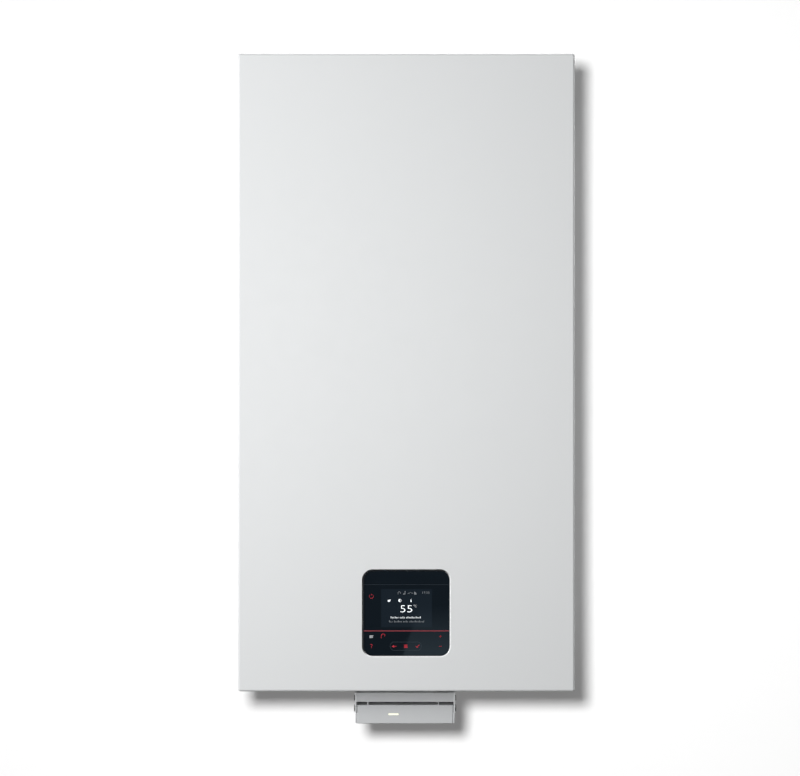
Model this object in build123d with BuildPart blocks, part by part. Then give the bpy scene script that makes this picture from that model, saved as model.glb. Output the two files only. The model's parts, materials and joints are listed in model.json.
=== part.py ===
"""A wall-hung storage combi boiler with its inner parts, in millimetres.

The origin is the middle of the wall bracket's line of bolts, on the wall. +X is to the right
seen from the front, +Z is up, and the boiler stands out of the wall towards -Y.
"""

from build123d import *
import math
import os

os.makedirs("parts", exist_ok=True)

# ---------------------------------------------------------------- driving dimensions
WIDTH = 470.0  # casing, side to side
HEIGHT = 890.0  # casing, bottom edge to top
DEPTH = 570.0  # wall to the front of the cover
TOP_ABOVE_BOLTS = 70.0
SHEET = 1.0  # casing steel
FIT = 0.05  # radial clearance of a shaft in its hole
GAP = 0.3  # air between bodies that slide past each other

BASE = TOP_ABOVE_BOLTS - HEIGHT  # height of the casing's bottom edge
TOP = TOP_ABOVE_BOLTS
HALF = WIDTH / 2
INNER = HALF - SHEET  # inner face of the side panels
FRONT = -DEPTH

COVER_SHEET = 1.2
COVER_DEPTH = 24.0  # of the cover's tray
COVER_RADIUS = 3.0
RIM_LIP = 9.0  # the tray's edge turns inwards by this
SEAM = 2.0  # between the cover and the casing
RIM = FRONT + COVER_DEPTH  # rear edge of the cover
CHASSIS = RIM + SEAM  # front plane of the casing's frame
FLANGE_INNER = 216.0  # the side panels' front flanges reach in to here

# display, centred on the casing
GLASS_WIDTH, GLASS_HEIGHT = 118.8, 117.2  # what shows of it
GLASS_CENTRE = 109.4  # above the casing's bottom edge
GLASS_RADIUS = 12.4
GLASS_MARGIN = 2.0  # of the glass hidden behind the window's lip
GLASS_THICK = 2.0
GLASS_FACE = FRONT + 2.5
WINDOW_BEVEL = 2.6
WINDOW_LIP = 2.0  # depth of the bevelled lip

# control box and its hinge
BOX_HALF = 190.0
BOX_REAR, BOX_FRONT = -470.0, -548.0
BOX_BOTTOM, BOX_TOP = 34.5, 205.0
BOX_WALL = 2.5
HINGE_Y, HINGE_Z = -540.0, 39.0
HINGE_PIN = 4.0
EAR_INNER, EAR_OUTER = 192.5, 195.5

# radio receiver and cradle
MODULE_X = -1.6  # the module hangs a little left of the middle
CRADLE_HALF = 70.6
CRADLE_FRONT, CRADLE_REAR = -520.0, -402.0
CRADLE_BAND = 20.6  # height of the band that shows under the casing
CRADLE_WALL = 2.5
CHEEK = 1.8
CHEEK_BOTTOM = -36.0
BACK_SLOT = (-43.5, -30.0)
RECEIVER_HALF = 68.5
RECEIVER_TOP, RECEIVER_BOTTOM = -25.2, -51.4
RECEIVER_REAR = -405.0
GROOVE_LOW, GROOVE_HIGH = -35.0, -30.2
GROOVE_DEPTH = 1.6
LIGHT_X, LIGHT_Z = -16.4, -38.1
LIGHT_WIDTH, LIGHT_HEIGHT = 14.0, 2.2
RAIL_PLACES = (-52.7, 46.9)  # guide ribs on the receiver's lid
RAIL_HALF = 0.7

# floor
PAN = 28.0  # underside of the floor pan, above the casing's bottom edge
PAN_TOP = PAN + SHEET
STUB_Y = -185.0
STUB_END = -30.0
UNION_LOW, UNION_HIGH = 4.0, 20.0
FLOOR_RUN = 62.0  # height of the pipes that run forward under the tanks

# wall bracket
BRACKET_HALF = 180.0
BOLT_SPACING = 300.0
BOLT_RADIUS = 4.5
REAR = -12.0  # back face of the rear panel

# tanks
TANK_X, TANK_Y = 114.0, -128.0
TANK_RADIUS = 98.0
TANK_LOW, TANK_HIGH = 95.0, 858.0
TANK_WALL = 1.0
SLEEVE_RADIUS = 113.0
SHELF = 80.0
PORT = 8.0
BULKHEAD = -246.0  # rear face of the sheet behind the burner parts
BULKHEAD_SHEET = 1.2
BULKHEAD_FRONT = BULKHEAD - BULKHEAD_SHEET

# exchanger, burner and flue
EXCHANGER_X, EXCHANGER_Z = -135.0, 650.0
EXCHANGER_RADIUS = 94.0
EXCHANGER_WALL = 2.5
EXCHANGER_REAR, EXCHANGER_FRONT = -262.0, -420.0
FLANGE_RADIUS = 98.0
HEADER_RADIUS = 84.0
HEADER_TUBE = 6.5
NIPPLE_ANGLE = 20.0  # of each header from straight down
NIPPLE_Y = -385.0
NIPPLE_END = 540.0
COIL_RINGS = 6
COIL_PITCH = 22.0
COIL_RING = 14.0
COIL_OUTER, COIL_INNER = 85.0, 71.0
IGNITER_RADIUS = 66.0
IGNITER_ANGLE = 45.0
INLET_BORE, INLET_TUBE = 21.0, 24.0
DOOR_FACE = -446.0
FLUE_Y = -300.0
FLUE_RADIUS = 31.5
FLUE_BORE = 28.5
SOCKET_BORE = 30.0
SOCKET_DEPTH = 45.0
FLUE_ABOVE = 22.0
COLLAR_RADIUS, COLLAR_BORE = 50.0, 47.0
COLLAR_ABOVE = 25.0
SUMP_LOW, SUMP_HIGH = 500.0, 545.0

# fan, mixer and gas
FAN_X, FAN_Z = -87.0, 510.0
FAN_RADIUS = 72.0
FAN_REAR, FAN_FRONT = -452.0, -496.0
FAN_WALL = 2.5
FAN_OUTLET_HALF = 24.0
IMPELLER_RADIUS = 56.0
SHAFT = 4.0
MIXER_REAR, MIXER_FRONT = -396.0, -438.0
GAS_PORT_Y = -426.0
VALVE_LOW, VALVE_HIGH = 385.0, 470.0

# water parts
RUN_Y = -346.0  # plane of the flow pipe and the diverter
PUMP_Z = 170.0
PUMP_Y = -330.0
CHARGE_X, CHARGE_Y, CHARGE_Z = -5.0, -325.0, 150.0
DIVERTER_X, DIVERTER_Z = 170.0, 170.0
EXPANSION_X, EXPANSION_RADIUS = 136.0, 90.0
VESSEL_WALL, VESSEL_PORT = 2.0, 4.0
SMALL_RADIUS = 48.0
PLATES_LOW, PLATES_HIGH = (38.0, 150.0), (114.0, 350.0)
PLATES_REAR, PLATES_FRONT = -262.0, -330.0
SMALL_VESSEL = (-172.0, -410.0)
TRAP_X = -190.0
TAP_X, TAP_Y = 122.0, -438.0
HEATING_PIPE = 11.0
INNER_HEATING = 9.0
WATER_PIPE = 7.5
PIPE_WALL = 1.0
KNOB_RADIUS = 11.0

# names and sizes of what passes through the floor: place, radius of the pipe
STUBS = {
    "return": (EXCHANGER_X + HEADER_RADIUS * math.sin(math.radians(NIPPLE_ANGLE)), HEATING_PIPE),
    "gas": (-50.0, INNER_HEATING),
    "cold": (CHARGE_X, WATER_PIPE),
    "hot": (98.0, WATER_PIPE),
    "flow": (DIVERTER_X, HEATING_PIPE),
}
CONDENSATE_TUBE = 10.75
CABLE_PLACE = (205.0, -215.0)
CABLE_BORE = 4.5
TAP_HOSE = 7.5

FLANGE_SCREWS = [(side * 219.4, height) for side in (-1, 1) for height in (60.0, 445.0, 825.0)]
CRADLE_SCREWS = [(x, y) for x in (-55.0, 55.0) for y in (-490.0, -425.0)]
SCREW_SHANK, SCREW_HEAD, HEAD_HEIGHT = 1.9, 3.4, 1.8
SCREW_HOLE = 2.0


# ---------------------------------------------------------------- helpers
def up(height):
    """A height above the casing's bottom edge."""
    return BASE + height


def block(low, high, mode=Mode.ADD):
    """A box between two corners."""
    with Locations(tuple((a + b) / 2 for a, b in zip(low, high))):
        Box(*[b - a for a, b in zip(low, high)], mode=mode)


def rounded_block(low, high, radius, normal, mode=Mode.ADD):
    """A box between two corners, its edges along one axis rounded."""
    centre = tuple((a + b) / 2 for a, b in zip(low, high))
    width, depth, height = [b - a for a, b in zip(low, high)]
    plane, across, along, thick = {
        "X": (Plane.YZ, depth, height, width),
        "Y": (Plane.XZ, width, height, depth),
        "Z": (Plane.XY, width, depth, height),
    }[normal]
    with BuildSketch(Plane(origin=centre, x_dir=plane.x_dir, z_dir=plane.z_dir)) as outline:
        RectangleRounded(across, along, radius)
    extrude(outline.sketch, amount=thick / 2, both=True, mode=mode)


def rod(radius, start, end, mode=Mode.ADD):
    """A round bar between two points."""
    way = Vector(*end) - Vector(*start)
    with BuildSketch(Plane(origin=start, z_dir=way)) as section:
        Circle(radius)
    extrude(section.sketch, amount=way.length, mode=mode)


def ring(outer, bore, start, end, mode=Mode.ADD):
    """A round tube between two points."""
    way = Vector(*end) - Vector(*start)
    with BuildSketch(Plane(origin=start, z_dir=way)) as section:
        Circle(outer)
        Circle(bore, mode=Mode.SUBTRACT)
    extrude(section.sketch, amount=way.length, mode=mode)


def hexagon(radius, start, end, mode=Mode.ADD):
    """A six-sided bar between two points."""
    way = Vector(*end) - Vector(*start)
    with BuildSketch(Plane(origin=start, z_dir=way)) as section:
        RegularPolygon(radius, 6)
    extrude(section.sketch, amount=way.length, mode=mode)


def pipe(points, radius, bend, mode=Mode.ADD):
    """A round bar along straight runs joined by bends."""
    with BuildLine() as route:
        FilletPolyline(*points, radius=bend)
    with BuildSketch(Plane(origin=route.line @ 0, z_dir=route.line % 0)) as section:
        Circle(radius)
    sweep(sections=section.sketch, path=route.line, mode=mode)


def turned(points, origin, direction, mode=Mode.ADD):
    """A closed outline of (radius, distance along the axis) turned about that axis."""
    axis = Vector(*direction)
    side = Vector(1, 0, 0) if abs(axis.X) < 0.5 else Vector(0, 1, 0)
    half = Plane(origin=origin, x_dir=side, z_dir=side.cross(axis))
    with BuildSketch(half) as outline:
        with BuildLine():
            Polyline(*points, close=True)
        make_face()
    revolve(outline.sketch, axis=Axis(origin, direction), mode=mode)


def capsule(place, low, high, radius, dome, knuckle, mode=Mode.ADD):
    """An upright cylinder with domed ends."""
    x, y = place
    plane = Plane(origin=(x, y, 0), x_dir=(1, 0, 0), z_dir=(0, -1, 0))
    crown = (radius * radius + dome * dome) / (2 * dome)
    half = radius / 2
    rise = crown - math.sqrt(crown * crown - half * half)
    with BuildSketch(plane) as outline:
        with BuildLine():
            Line((0, low), (0, high))
            ThreePointArc((0, high), (half, high - rise), (radius, high - dome))
            Line((radius, high - dome), (radius, low + dome))
            ThreePointArc((radius, low + dome), (half, low + rise), (0, low))
        make_face()
        fillet(vertices().group_by(Axis.X)[-1], knuckle)
    revolve(outline.sketch, axis=Axis((x, y, 0), (0, 0, 1)), mode=mode)


def vessel(place, low, high, radius, dome, knuckle, wall):
    """A hollow upright vessel with domed ends."""
    capsule(place, low, high, radius, dome, knuckle)
    capsule(place, low + wall, high - wall, radius - wall, dome, knuckle - wall, Mode.SUBTRACT)


def on_exchanger(radius, angle, y):
    """A point round the exchanger's axis, its angle measured from +X towards +Z."""
    turn = math.radians(angle)
    return (EXCHANGER_X + radius * math.cos(turn), y, up(EXCHANGER_Z) + radius * math.sin(turn))


def screw(place, direction):
    """A pan-head screw, its head standing on a face at place and its shank going in."""
    out = Vector(*direction)
    foot = Vector(*place)
    rod(SCREW_HEAD, foot, foot + out * HEAD_HEIGHT)
    rod(SCREW_SHANK, foot + out * 0.5, foot - out * 8)
    head = edges().filter_by(GeomType.CIRCLE).sort_by(Axis(place, direction))[-1]
    return head


# ---------------------------------------------------------------- casing
with BuildPart() as wall_bracket:
    LIP_TOP = 34.0
    block((-BRACKET_HALF, -2, -22), (BRACKET_HALF, 0, 22))
    block((-BRACKET_HALF, -9, 20), (BRACKET_HALF, -2, 22))
    block((-BRACKET_HALF, -9, 20), (BRACKET_HALF, -7, LIP_TOP))
    for side in (-1, 1):
        x = side * BOLT_SPACING / 2
        rod(BOLT_RADIUS, (x, 1, 0), (x, -3, 0), Mode.SUBTRACT)
wall_bracket.part.label = "wall_bracket"
export_step(wall_bracket.part, "parts/wall_bracket.step")

with BuildPart() as rear_panel:
    block((-INNER, REAR - SHEET, up(10)), (INNER, REAR, TOP - SHEET))
    for side in (-1, 1):
        low, high = sorted((side * INNER, side * (INNER - SHEET)))
        block((low, REAR - SHEET - 12, up(PAN_TOP)), (high, REAR - SHEET, TOP - SHEET))
        rounded_block((side * 75 - 14, REAR, up(90)), (side * 75 + 14, REAR + 2.5, up(740)), 13.9, "Y")
    block((-BRACKET_HALF + 8, REAR, LIP_TOP), (BRACKET_HALF - 8, -4, LIP_TOP + 2))
    block((-BRACKET_HALF + 8, -6, 25), (BRACKET_HALF - 8, -4, LIP_TOP + 2))
rear_panel.part.label = "rear_panel"
export_step(rear_panel.part, "parts/rear_panel.step")

with BuildPart() as side_panels:
    block((INNER, CHASSIS, BASE), (HALF, -1, TOP))
    block((FLANGE_INNER, CHASSIS, BASE), (HALF, CHASSIS + SHEET, TOP - SHEET))
    block((FLANGE_INNER, -1 - SHEET, BASE), (HALF, -1, TOP - SHEET))
    for x, height in FLANGE_SCREWS:
        if x > 0:
            rod(SCREW_HOLE, (x, CHASSIS - 1, up(height)), (x, CHASSIS + 3, up(height)), Mode.SUBTRACT)
    mirror(about=Plane.YZ)
side_panels.part.label = "side_panels"
export_step(side_panels.part, "parts/side_panels.step")

TAB_SHELF = TOP - 17.0
TAB_TOP = TOP - 9.0
TAB_LOW_X, TAB_HIGH_X = 150.0, 170.0
with BuildPart() as top_panel:
    block((-INNER, CHASSIS, TOP - SHEET), (INNER, -1, TOP))
    block((-FLANGE_INNER, CHASSIS, TOP - 19), (FLANGE_INNER, CHASSIS + SHEET, TOP))
    rod(COLLAR_BORE, (0, FLUE_Y, TOP - 5), (0, FLUE_Y, TOP + 5), Mode.SUBTRACT)
    for side in (-1, 1):
        low, high = sorted((side * TAB_LOW_X, side * TAB_HIGH_X))
        block((low, CHASSIS - 12, TAB_SHELF), (high, CHASSIS, TAB_SHELF + 2))
        block((low, CHASSIS - 12, TAB_SHELF), (high, CHASSIS - 10, TAB_TOP))
top_panel.part.label = "top_panel"
export_step(top_panel.part, "parts/top_panel.step")

with BuildPart() as floor_pan:
    PAN_FRONT = CHASSIS + 2
    block((-INNER, PAN_FRONT, up(PAN)), (INNER, REAR - SHEET, up(PAN_TOP)))
    for side in (-1, 1):
        low, high = sorted((side * INNER, side * (INNER - SHEET)))
        block((low, PAN_FRONT + 7, up(PAN)), (high, -30, up(PAN_TOP + 10)))
    for x, radius in STUBS.values():
        rod(radius + 3, (x, STUB_Y, up(PAN - 2)), (x, STUB_Y, up(PAN_TOP + 2)), Mode.SUBTRACT)
    for x, y, radius in (
        (TRAP_X, FLUE_Y, CONDENSATE_TUBE - 1),
        (*CABLE_PLACE, CABLE_BORE + 1),
        (TAP_X, TAP_Y, TAP_HOSE),
    ):
        rod(radius + 3, (x, y, up(PAN - 2)), (x, y, up(PAN_TOP + 2)), Mode.SUBTRACT)
    for x, y in CRADLE_SCREWS:
        x += MODULE_X
        rod(SCREW_HOLE, (x, y, up(PAN - 2)), (x, y, up(PAN_TOP + 2)), Mode.SUBTRACT)
floor_pan.part.label = "floor_pan"
export_step(floor_pan.part, "parts/floor_pan.step")

with BuildPart() as front_rails:
    RAIL = 2.0
    block((-FLANGE_INNER, CHASSIS, up(4)), (FLANGE_INNER, CHASSIS + RAIL, up(PAN_TOP)))
    block((-FLANGE_INNER, CHASSIS, up(4)), (FLANGE_INNER, CHASSIS + 16, up(6)))
    block((-FLANGE_INNER, CHASSIS, up(226)), (FLANGE_INNER, CHASSIS + RAIL, up(250)))
    block((-FLANGE_INNER, CHASSIS, up(248)), (FLANGE_INNER, CHASSIS + 16, up(250)))
    for side in (-1, 1):
        middle = side * (EAR_INNER + EAR_OUTER) / 2
        with BuildSketch(Plane(origin=(middle, 0, 0), x_dir=(0, 1, 0), z_dir=(1, 0, 0))) as ear:
            with BuildLine():
                Polyline(
                    (HINGE_Y - 10, up(17)),
                    (CHASSIS + RAIL, up(17)),
                    (CHASSIS + RAIL, up(PAN_TOP)),
                    (HINGE_Y + 10, up(PAN_TOP)),
                    (HINGE_Y + 10, up(HINGE_Z + 10)),
                    (HINGE_Y - 10, up(HINGE_Z + 10)),
                    close=True,
                )
            make_face()
            fillet(vertices().group_by(Axis.Y)[-1], 5)
            with Locations((HINGE_Y, up(HINGE_Z))):
                Circle(HINGE_PIN, mode=Mode.SUBTRACT)
        extrude(ear.sketch, amount=(EAR_OUTER - EAR_INNER) / 2, both=True)
front_rails.part.label = "front_rails"
export_step(front_rails.part, "parts/front_rails.step")

# posts carry each inner piece from the bulkhead: (x, height, end of the post, radius)
POSTS = [(*point[::2], point[1], 5.0) for point in (on_exchanger(70, a, EXCHANGER_REAR) for a in (45, 135, 225, 315))]
POSTS = [(x, z - BASE, y, r) for x, z, y, r in POSTS]
POSTS += [
    (STUBS["return"][0], PUMP_Z, PUMP_Y + 25, 8.0),
    (CHARGE_X, CHARGE_Z, CHARGE_Y + 23, 8.0),
    (DIVERTER_X, DIVERTER_Z, RUN_Y + 21, 8.0),
    (76.0, 320.0, PLATES_REAR, 6.0),
    (76.0, 190.0, PLATES_REAR, 6.0),
    (EXPANSION_X, 520.0, RUN_Y + EXPANSION_RADIUS, 10.0),
    (EXPANSION_X, 770.0, RUN_Y + EXPANSION_RADIUS, 10.0),
    (SMALL_VESSEL[0], 350.0, SMALL_VESSEL[1] + 50, 8.0),
    (0.0, SUMP_LOW + 22, -266.0, 8.0),
    (TRAP_X, 170.0, FLUE_Y + 27, 7.0),
]
with BuildPart() as bulkhead:
    block((-INNER, BULKHEAD_FRONT, up(SHELF)), (INNER, BULKHEAD, up(870)))
    block((-INNER + SHEET, BULKHEAD, up(SHELF)), (INNER - SHEET, -26, up(SHELF + BULKHEAD_SHEET)))
    for side in (-1, 1):
        rod(12, (side * TANK_X, TANK_Y, up(70)), (side * TANK_X, TANK_Y, up(90)), Mode.SUBTRACT)
    for x, z, end, radius in POSTS:
        rod(radius, (x, BULKHEAD_FRONT, up(z)), (x, end, up(z)))
bulkhead.part.label = "bulkhead"
export_step(bulkhead.part, "parts/bulkhead.step")

with BuildPart() as casing_screws:
    for x, height in FLANGE_SCREWS:
        screw((x, CHASSIS, up(height)), (0, -1, 0))
    for x, y in CRADLE_SCREWS:
        screw((x + MODULE_X, y, up(PAN_TOP)), (0, 0, 1))
casing_screws.part.label = "casing_screws"
export_step(casing_screws.part, "parts/casing_screws.step")


def grommet(place, radius, bore):
    """A rubber ring that grips the edge of a hole in the floor pan."""
    x, y = place
    outline = [
        (bore, -3), (radius + 5, -3), (radius + 5, 0), (radius + 3, 0),
        (radius + 3, SHEET), (radius + 5, SHEET), (radius + 5, SHEET + 2), (bore, SHEET + 2),
    ]
    turned(outline, (x, y, up(PAN)), (0, 0, 1))


with BuildPart() as floor_grommets:
    for x, radius in STUBS.values():
        grommet((x, STUB_Y), radius, radius)
    grommet((TRAP_X, FLUE_Y), CONDENSATE_TUBE - 1, CONDENSATE_TUBE - 1)
    grommet(CABLE_PLACE, CABLE_BORE + 1, CABLE_BORE)
floor_grommets.part.label = "floor_grommets"
export_step(floor_grommets.part, "parts/floor_grommets.step")

SEAL_OUTER, SEAL_WIDTH = 230.0, 6.9
with BuildPart() as front_seal:
    seal_low, seal_high = up(8), TOP - 6
    with BuildSketch(Plane(origin=(0, CHASSIS, 0), x_dir=(1, 0, 0), z_dir=(0, -1, 0))):
        with Locations((0, (seal_low + seal_high) / 2)):
            Rectangle(2 * SEAL_OUTER, seal_high - seal_low)
            inner_height = seal_high - seal_low - 2 * SEAL_WIDTH
            Rectangle(2 * (SEAL_OUTER - SEAL_WIDTH), inner_height, mode=Mode.SUBTRACT)
    extrude(amount=SEAM - GAP)
front_seal.part.label = "front_seal"
export_step(front_seal.part, "parts/front_seal.step")

# ---------------------------------------------------------------- receiver's cradle
with BuildPart() as receiver_cradle:
    rear, front = CRADLE_REAR, CRADLE_FRONT
    block((-CRADLE_HALF, front, up(PAN - CRADLE_WALL)), (CRADLE_HALF, rear, up(PAN)))
    block((-CRADLE_HALF, front, up(-CRADLE_BAND)), (CRADLE_HALF, front + CRADLE_WALL, up(PAN)))
    block(
        (-CRADLE_HALF, front, up(-CRADLE_BAND)),
        (CRADLE_HALF, rear, up(-CRADLE_BAND + CRADLE_WALL)),
    )
    block(
        (-CRADLE_HALF, rear - CRADLE_WALL, up(CHEEK_BOTTOM)),
        (CRADLE_HALF, rear, up(PAN)),
    )
    block((-64, rear - CRADLE_WALL, up(RECEIVER_BOTTOM)), (64, rear, up(PAN)))
    for side in (-1, 1):
        low, high = sorted((side * CRADLE_HALF, side * (CRADLE_HALF - CHEEK)))
        block((low, front, up(CHEEK_BOTTOM)), (high, rear, up(PAN)))
        rib_low, rib_high = sorted(
            (side * (CRADLE_HALF - CHEEK), side * (RECEIVER_HALF - GROOVE_DEPTH + GAP))
        )
        block(
            (rib_low, front + 5, up(GROOVE_LOW + GAP)),
            (rib_high, rear - 1, up(GROOVE_HIGH - GAP)),
        )
    for x, y in CRADLE_SCREWS:
        rod(SCREW_HOLE, (x, y, up(PAN - 12)), (x, y, up(PAN + 1)), Mode.SUBTRACT)
    block((-30, rear - 8, up(BACK_SLOT[0])), (30, rear + 2, up(BACK_SLOT[1])), Mode.SUBTRACT)
receiver_cradle.part.move(Location((MODULE_X, 0, 0)))
receiver_cradle.part.label = "receiver_cradle"
export_step(receiver_cradle.part, "parts/receiver_cradle.step")

# ---------------------------------------------------------------- flue
with BuildPart() as flue_connector:
    FLANGE_THICK = 4.0
    place = Vector(0, FLUE_Y, TOP)
    lift = Vector(0, 0, 1)
    ring(62, COLLAR_BORE, place, place + lift * FLANGE_THICK)
    ring(COLLAR_RADIUS, COLLAR_BORE, place, place + lift * COLLAR_ABOVE)
    for angle in (90, 210, 330):
        turn = math.radians(angle)
        arm = Vector(math.cos(turn), math.sin(turn), 0)
        with BuildSketch(Plane(origin=place + lift * FLANGE_THICK, x_dir=arm, z_dir=lift)) as web:
            with Locations(((FLUE_RADIUS + COLLAR_BORE + 1) / 2, 0)):
                Rectangle(COLLAR_BORE + 1 - FLUE_RADIUS, 3)
        extrude(web.sketch, amount=6)
    rod(FLUE_RADIUS, place, place + lift * 20, Mode.SUBTRACT)
    for angle in (50, 130):
        turn = math.radians(angle)
        cap = place + Vector(math.cos(turn), math.sin(turn), 0) * 56.5
        rod(4.5, cap, cap + lift * 10)
flue_connector.part.label = "flue_connector"
export_step(flue_connector.part, "parts/flue_connector.step")

with BuildPart() as flue_pipe:
    flue_top = TOP + FLUE_ABOVE
    ring(FLUE_RADIUS, FLUE_BORE, (0, FLUE_Y, up(SUMP_HIGH)), (0, FLUE_Y, flue_top))
    rod(SOCKET_BORE, (0, FLUE_Y, flue_top - SOCKET_DEPTH), (0, FLUE_Y, flue_top + 1), Mode.SUBTRACT)
flue_pipe.part.label = "flue_pipe"
export_step(flue_pipe.part, "parts/flue_pipe.step")

with BuildPart() as flue_sump:
    SUMP_REAR, SUMP_FRONT = -266.0, -334.0
    low = (EXCHANGER_X - 32, SUMP_FRONT, up(SUMP_LOW))
    high = (FLUE_RADIUS + 5, SUMP_REAR, up(SUMP_HIGH))
    rounded_block(low, high, 14, "Z")
    wall = 2.5
    rounded_block(
        [a + wall for a in low], [b - wall for b in high], 11.5, "Z", Mode.SUBTRACT
    )
    for x, radius in ((EXCHANGER_X, 25.0), (0.0, FLUE_BORE)):
        rod(radius, (x, FLUE_Y, up(SUMP_HIGH - 5)), (x, FLUE_Y, up(SUMP_HIGH + 5)), Mode.SUBTRACT)
    DRAIN_X = EXCHANGER_X - 15
    rod(9, (DRAIN_X, FLUE_Y, up(SUMP_LOW - 12)), (DRAIN_X, FLUE_Y, up(SUMP_LOW + 1)))
    rod(6, (DRAIN_X, FLUE_Y, up(SUMP_LOW - 14)), (DRAIN_X, FLUE_Y, up(SUMP_LOW + 4)), Mode.SUBTRACT)
flue_sump.part.label = "flue_sump"
export_step(flue_sump.part, "parts/flue_sump.step")

with BuildPart() as condensate_trap:
    trap = (TRAP_X, FLUE_Y)
    rod(27, (*trap, up(90)), (*trap, up(250)))
    fillet(edges().filter_by(GeomType.CIRCLE), 6)
    rod(21, (*trap, up(249)), (*trap, up(262)))
    rod(CONDENSATE_TUBE - 1, (*trap, up(UNION_LOW)), (*trap, up(91)))
    rod(14, (*trap, up(UNION_LOW)), (*trap, up(UNION_HIGH)))
    rod(CONDENSATE_TUBE, (*trap, up(STUB_END)), (*trap, up(UNION_LOW)))
    rod(8, (*trap, up(STUB_END - 1)), (*trap, up(60)), Mode.SUBTRACT)
    pipe(
        [
            (DRAIN_X, FLUE_Y, up(SUMP_LOW - 12)),
            (DRAIN_X, FLUE_Y, up(430)),
            (TRAP_X, FLUE_Y, up(380)),
            (TRAP_X, FLUE_Y, up(262)),
        ],
        9,
        25,
    )
condensate_trap.part.label = "condensate_trap"
export_step(condensate_trap.part, "parts/condensate_trap.step")

# ---------------------------------------------------------------- exchanger and burner
EXCHANGER_AXIS = (EXCHANGER_X, 0, up(EXCHANGER_Z))
NIPPLES = [-90 - NIPPLE_ANGLE, -90 + NIPPLE_ANGLE]


def on_axis(y):
    """The point of the exchanger's axis at this depth."""
    return (EXCHANGER_X, y, up(EXCHANGER_Z))


with BuildPart() as exchanger_shell:
    bore = EXCHANGER_RADIUS - EXCHANGER_WALL
    rod(EXCHANGER_RADIUS, on_axis(EXCHANGER_REAR), on_axis(EXCHANGER_FRONT))
    rod(FLANGE_RADIUS, on_axis(EXCHANGER_FRONT + 6), on_axis(EXCHANGER_FRONT))
    ring(EXCHANGER_RADIUS + 2, bore, on_axis(-310), on_axis(-318))
    ring(EXCHANGER_RADIUS + 2, bore, on_axis(-358), on_axis(-366))
    rod(27, (EXCHANGER_X, FLUE_Y, up(SUMP_HIGH)), (EXCHANGER_X, FLUE_Y, up(EXCHANGER_Z - 60)))
    rod(bore, on_axis(EXCHANGER_REAR - 3), on_axis(EXCHANGER_FRONT - 1), Mode.SUBTRACT)
    rod(
        25,
        (EXCHANGER_X, FLUE_Y, up(SUMP_HIGH - 1)),
        (EXCHANGER_X, FLUE_Y, up(EXCHANGER_Z - 60)),
        Mode.SUBTRACT,
    )
    for angle in NIPPLES:
        x, y, z = on_exchanger(HEADER_RADIUS, angle, NIPPLE_Y)
        rod(HEADER_TUBE + 0.5, (x, y, z), (x, y, z - 40), Mode.SUBTRACT)
exchanger_shell.part.label = "exchanger_shell"
export_step(exchanger_shell.part, "parts/exchanger_shell.step")

with BuildPart() as exchanger_coil:
    first = EXCHANGER_REAR - 10
    for number in range(COIL_RINGS):
        start = first - number * COIL_PITCH
        ring(COIL_OUTER, COIL_INNER, on_axis(start), on_axis(start - COIL_RING))
    last = first - (COIL_RINGS - 1) * COIL_PITCH - COIL_RING
    for angle in NIPPLES:
        rod(
            HEADER_TUBE,
            on_exchanger(HEADER_RADIUS, angle, first),
            on_exchanger(HEADER_RADIUS, angle, last),
        )
        x, y, z = on_exchanger(HEADER_RADIUS, angle, NIPPLE_Y)
        rod(HEADER_TUBE, (x, y, z), (x, y, up(NIPPLE_END)))
exchanger_coil.part.label = "exchanger_coil"
export_step(exchanger_coil.part, "parts/exchanger_coil.step")

IGNITER_PLACE = {y: on_exchanger(IGNITER_RADIUS, IGNITER_ANGLE, y) for y in (-360, -385, -400, -424, -450)}
with BuildPart() as burner_door:
    # (radius, distance forward of the exchanger's front flange)
    turned(
        [
            (FLANGE_RADIUS, 0), (FLANGE_RADIUS, -4), (56, -4), (40, DOOR_FACE - EXCHANGER_FRONT),
            (INLET_TUBE, DOOR_FACE - EXCHANGER_FRONT), (INLET_TUBE, FAN_REAR - EXCHANGER_FRONT),
            (INLET_BORE, FAN_REAR - EXCHANGER_FRONT), (INLET_BORE, -22), (37, -22), (52, 0),
        ],
        on_axis(EXCHANGER_FRONT),
        (0, 1, 0),
    )
    for number in range(8):
        angle = 22.5 + number * 45
        rod(5, on_exchanger(88, angle, EXCHANGER_FRONT - 4), on_exchanger(88, angle, EXCHANGER_FRONT - 9))
    rod(4, IGNITER_PLACE[-400], IGNITER_PLACE[-450], Mode.SUBTRACT)
burner_door.part.label = "burner_door"
export_step(burner_door.part, "parts/burner_door.step")

BURNER_REAR, BURNER_FLANGE = -310.0, -417.0
with BuildPart() as door_insulation:
    ring(90, 36, on_axis(-404), on_axis(BURNER_FLANGE))
    rod(4, IGNITER_PLACE[-385], IGNITER_PLACE[-450], Mode.SUBTRACT)
door_insulation.part.label = "door_insulation"
export_step(door_insulation.part, "parts/door_insulation.step")

with BuildPart() as burner_tube:
    ring(58, 32.5, on_axis(BURNER_FLANGE), on_axis(EXCHANGER_FRONT))
    rod(34, on_axis(BURNER_REAR), on_axis(BURNER_FLANGE))
    rod(32.5, on_axis(BURNER_REAR - 1.5), on_axis(BURNER_FLANGE - 1), Mode.SUBTRACT)
    for number in range(6):
        angle = number * 30
        for row in range(4):
            y = BURNER_REAR - 14 - row * 22
            one, other = on_exchanger(40, angle, y), on_exchanger(40, angle + 180, y)
            rod(3, one, other, Mode.SUBTRACT)
burner_tube.part.label = "burner_tube"
export_step(burner_tube.part, "parts/burner_tube.step")

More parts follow.
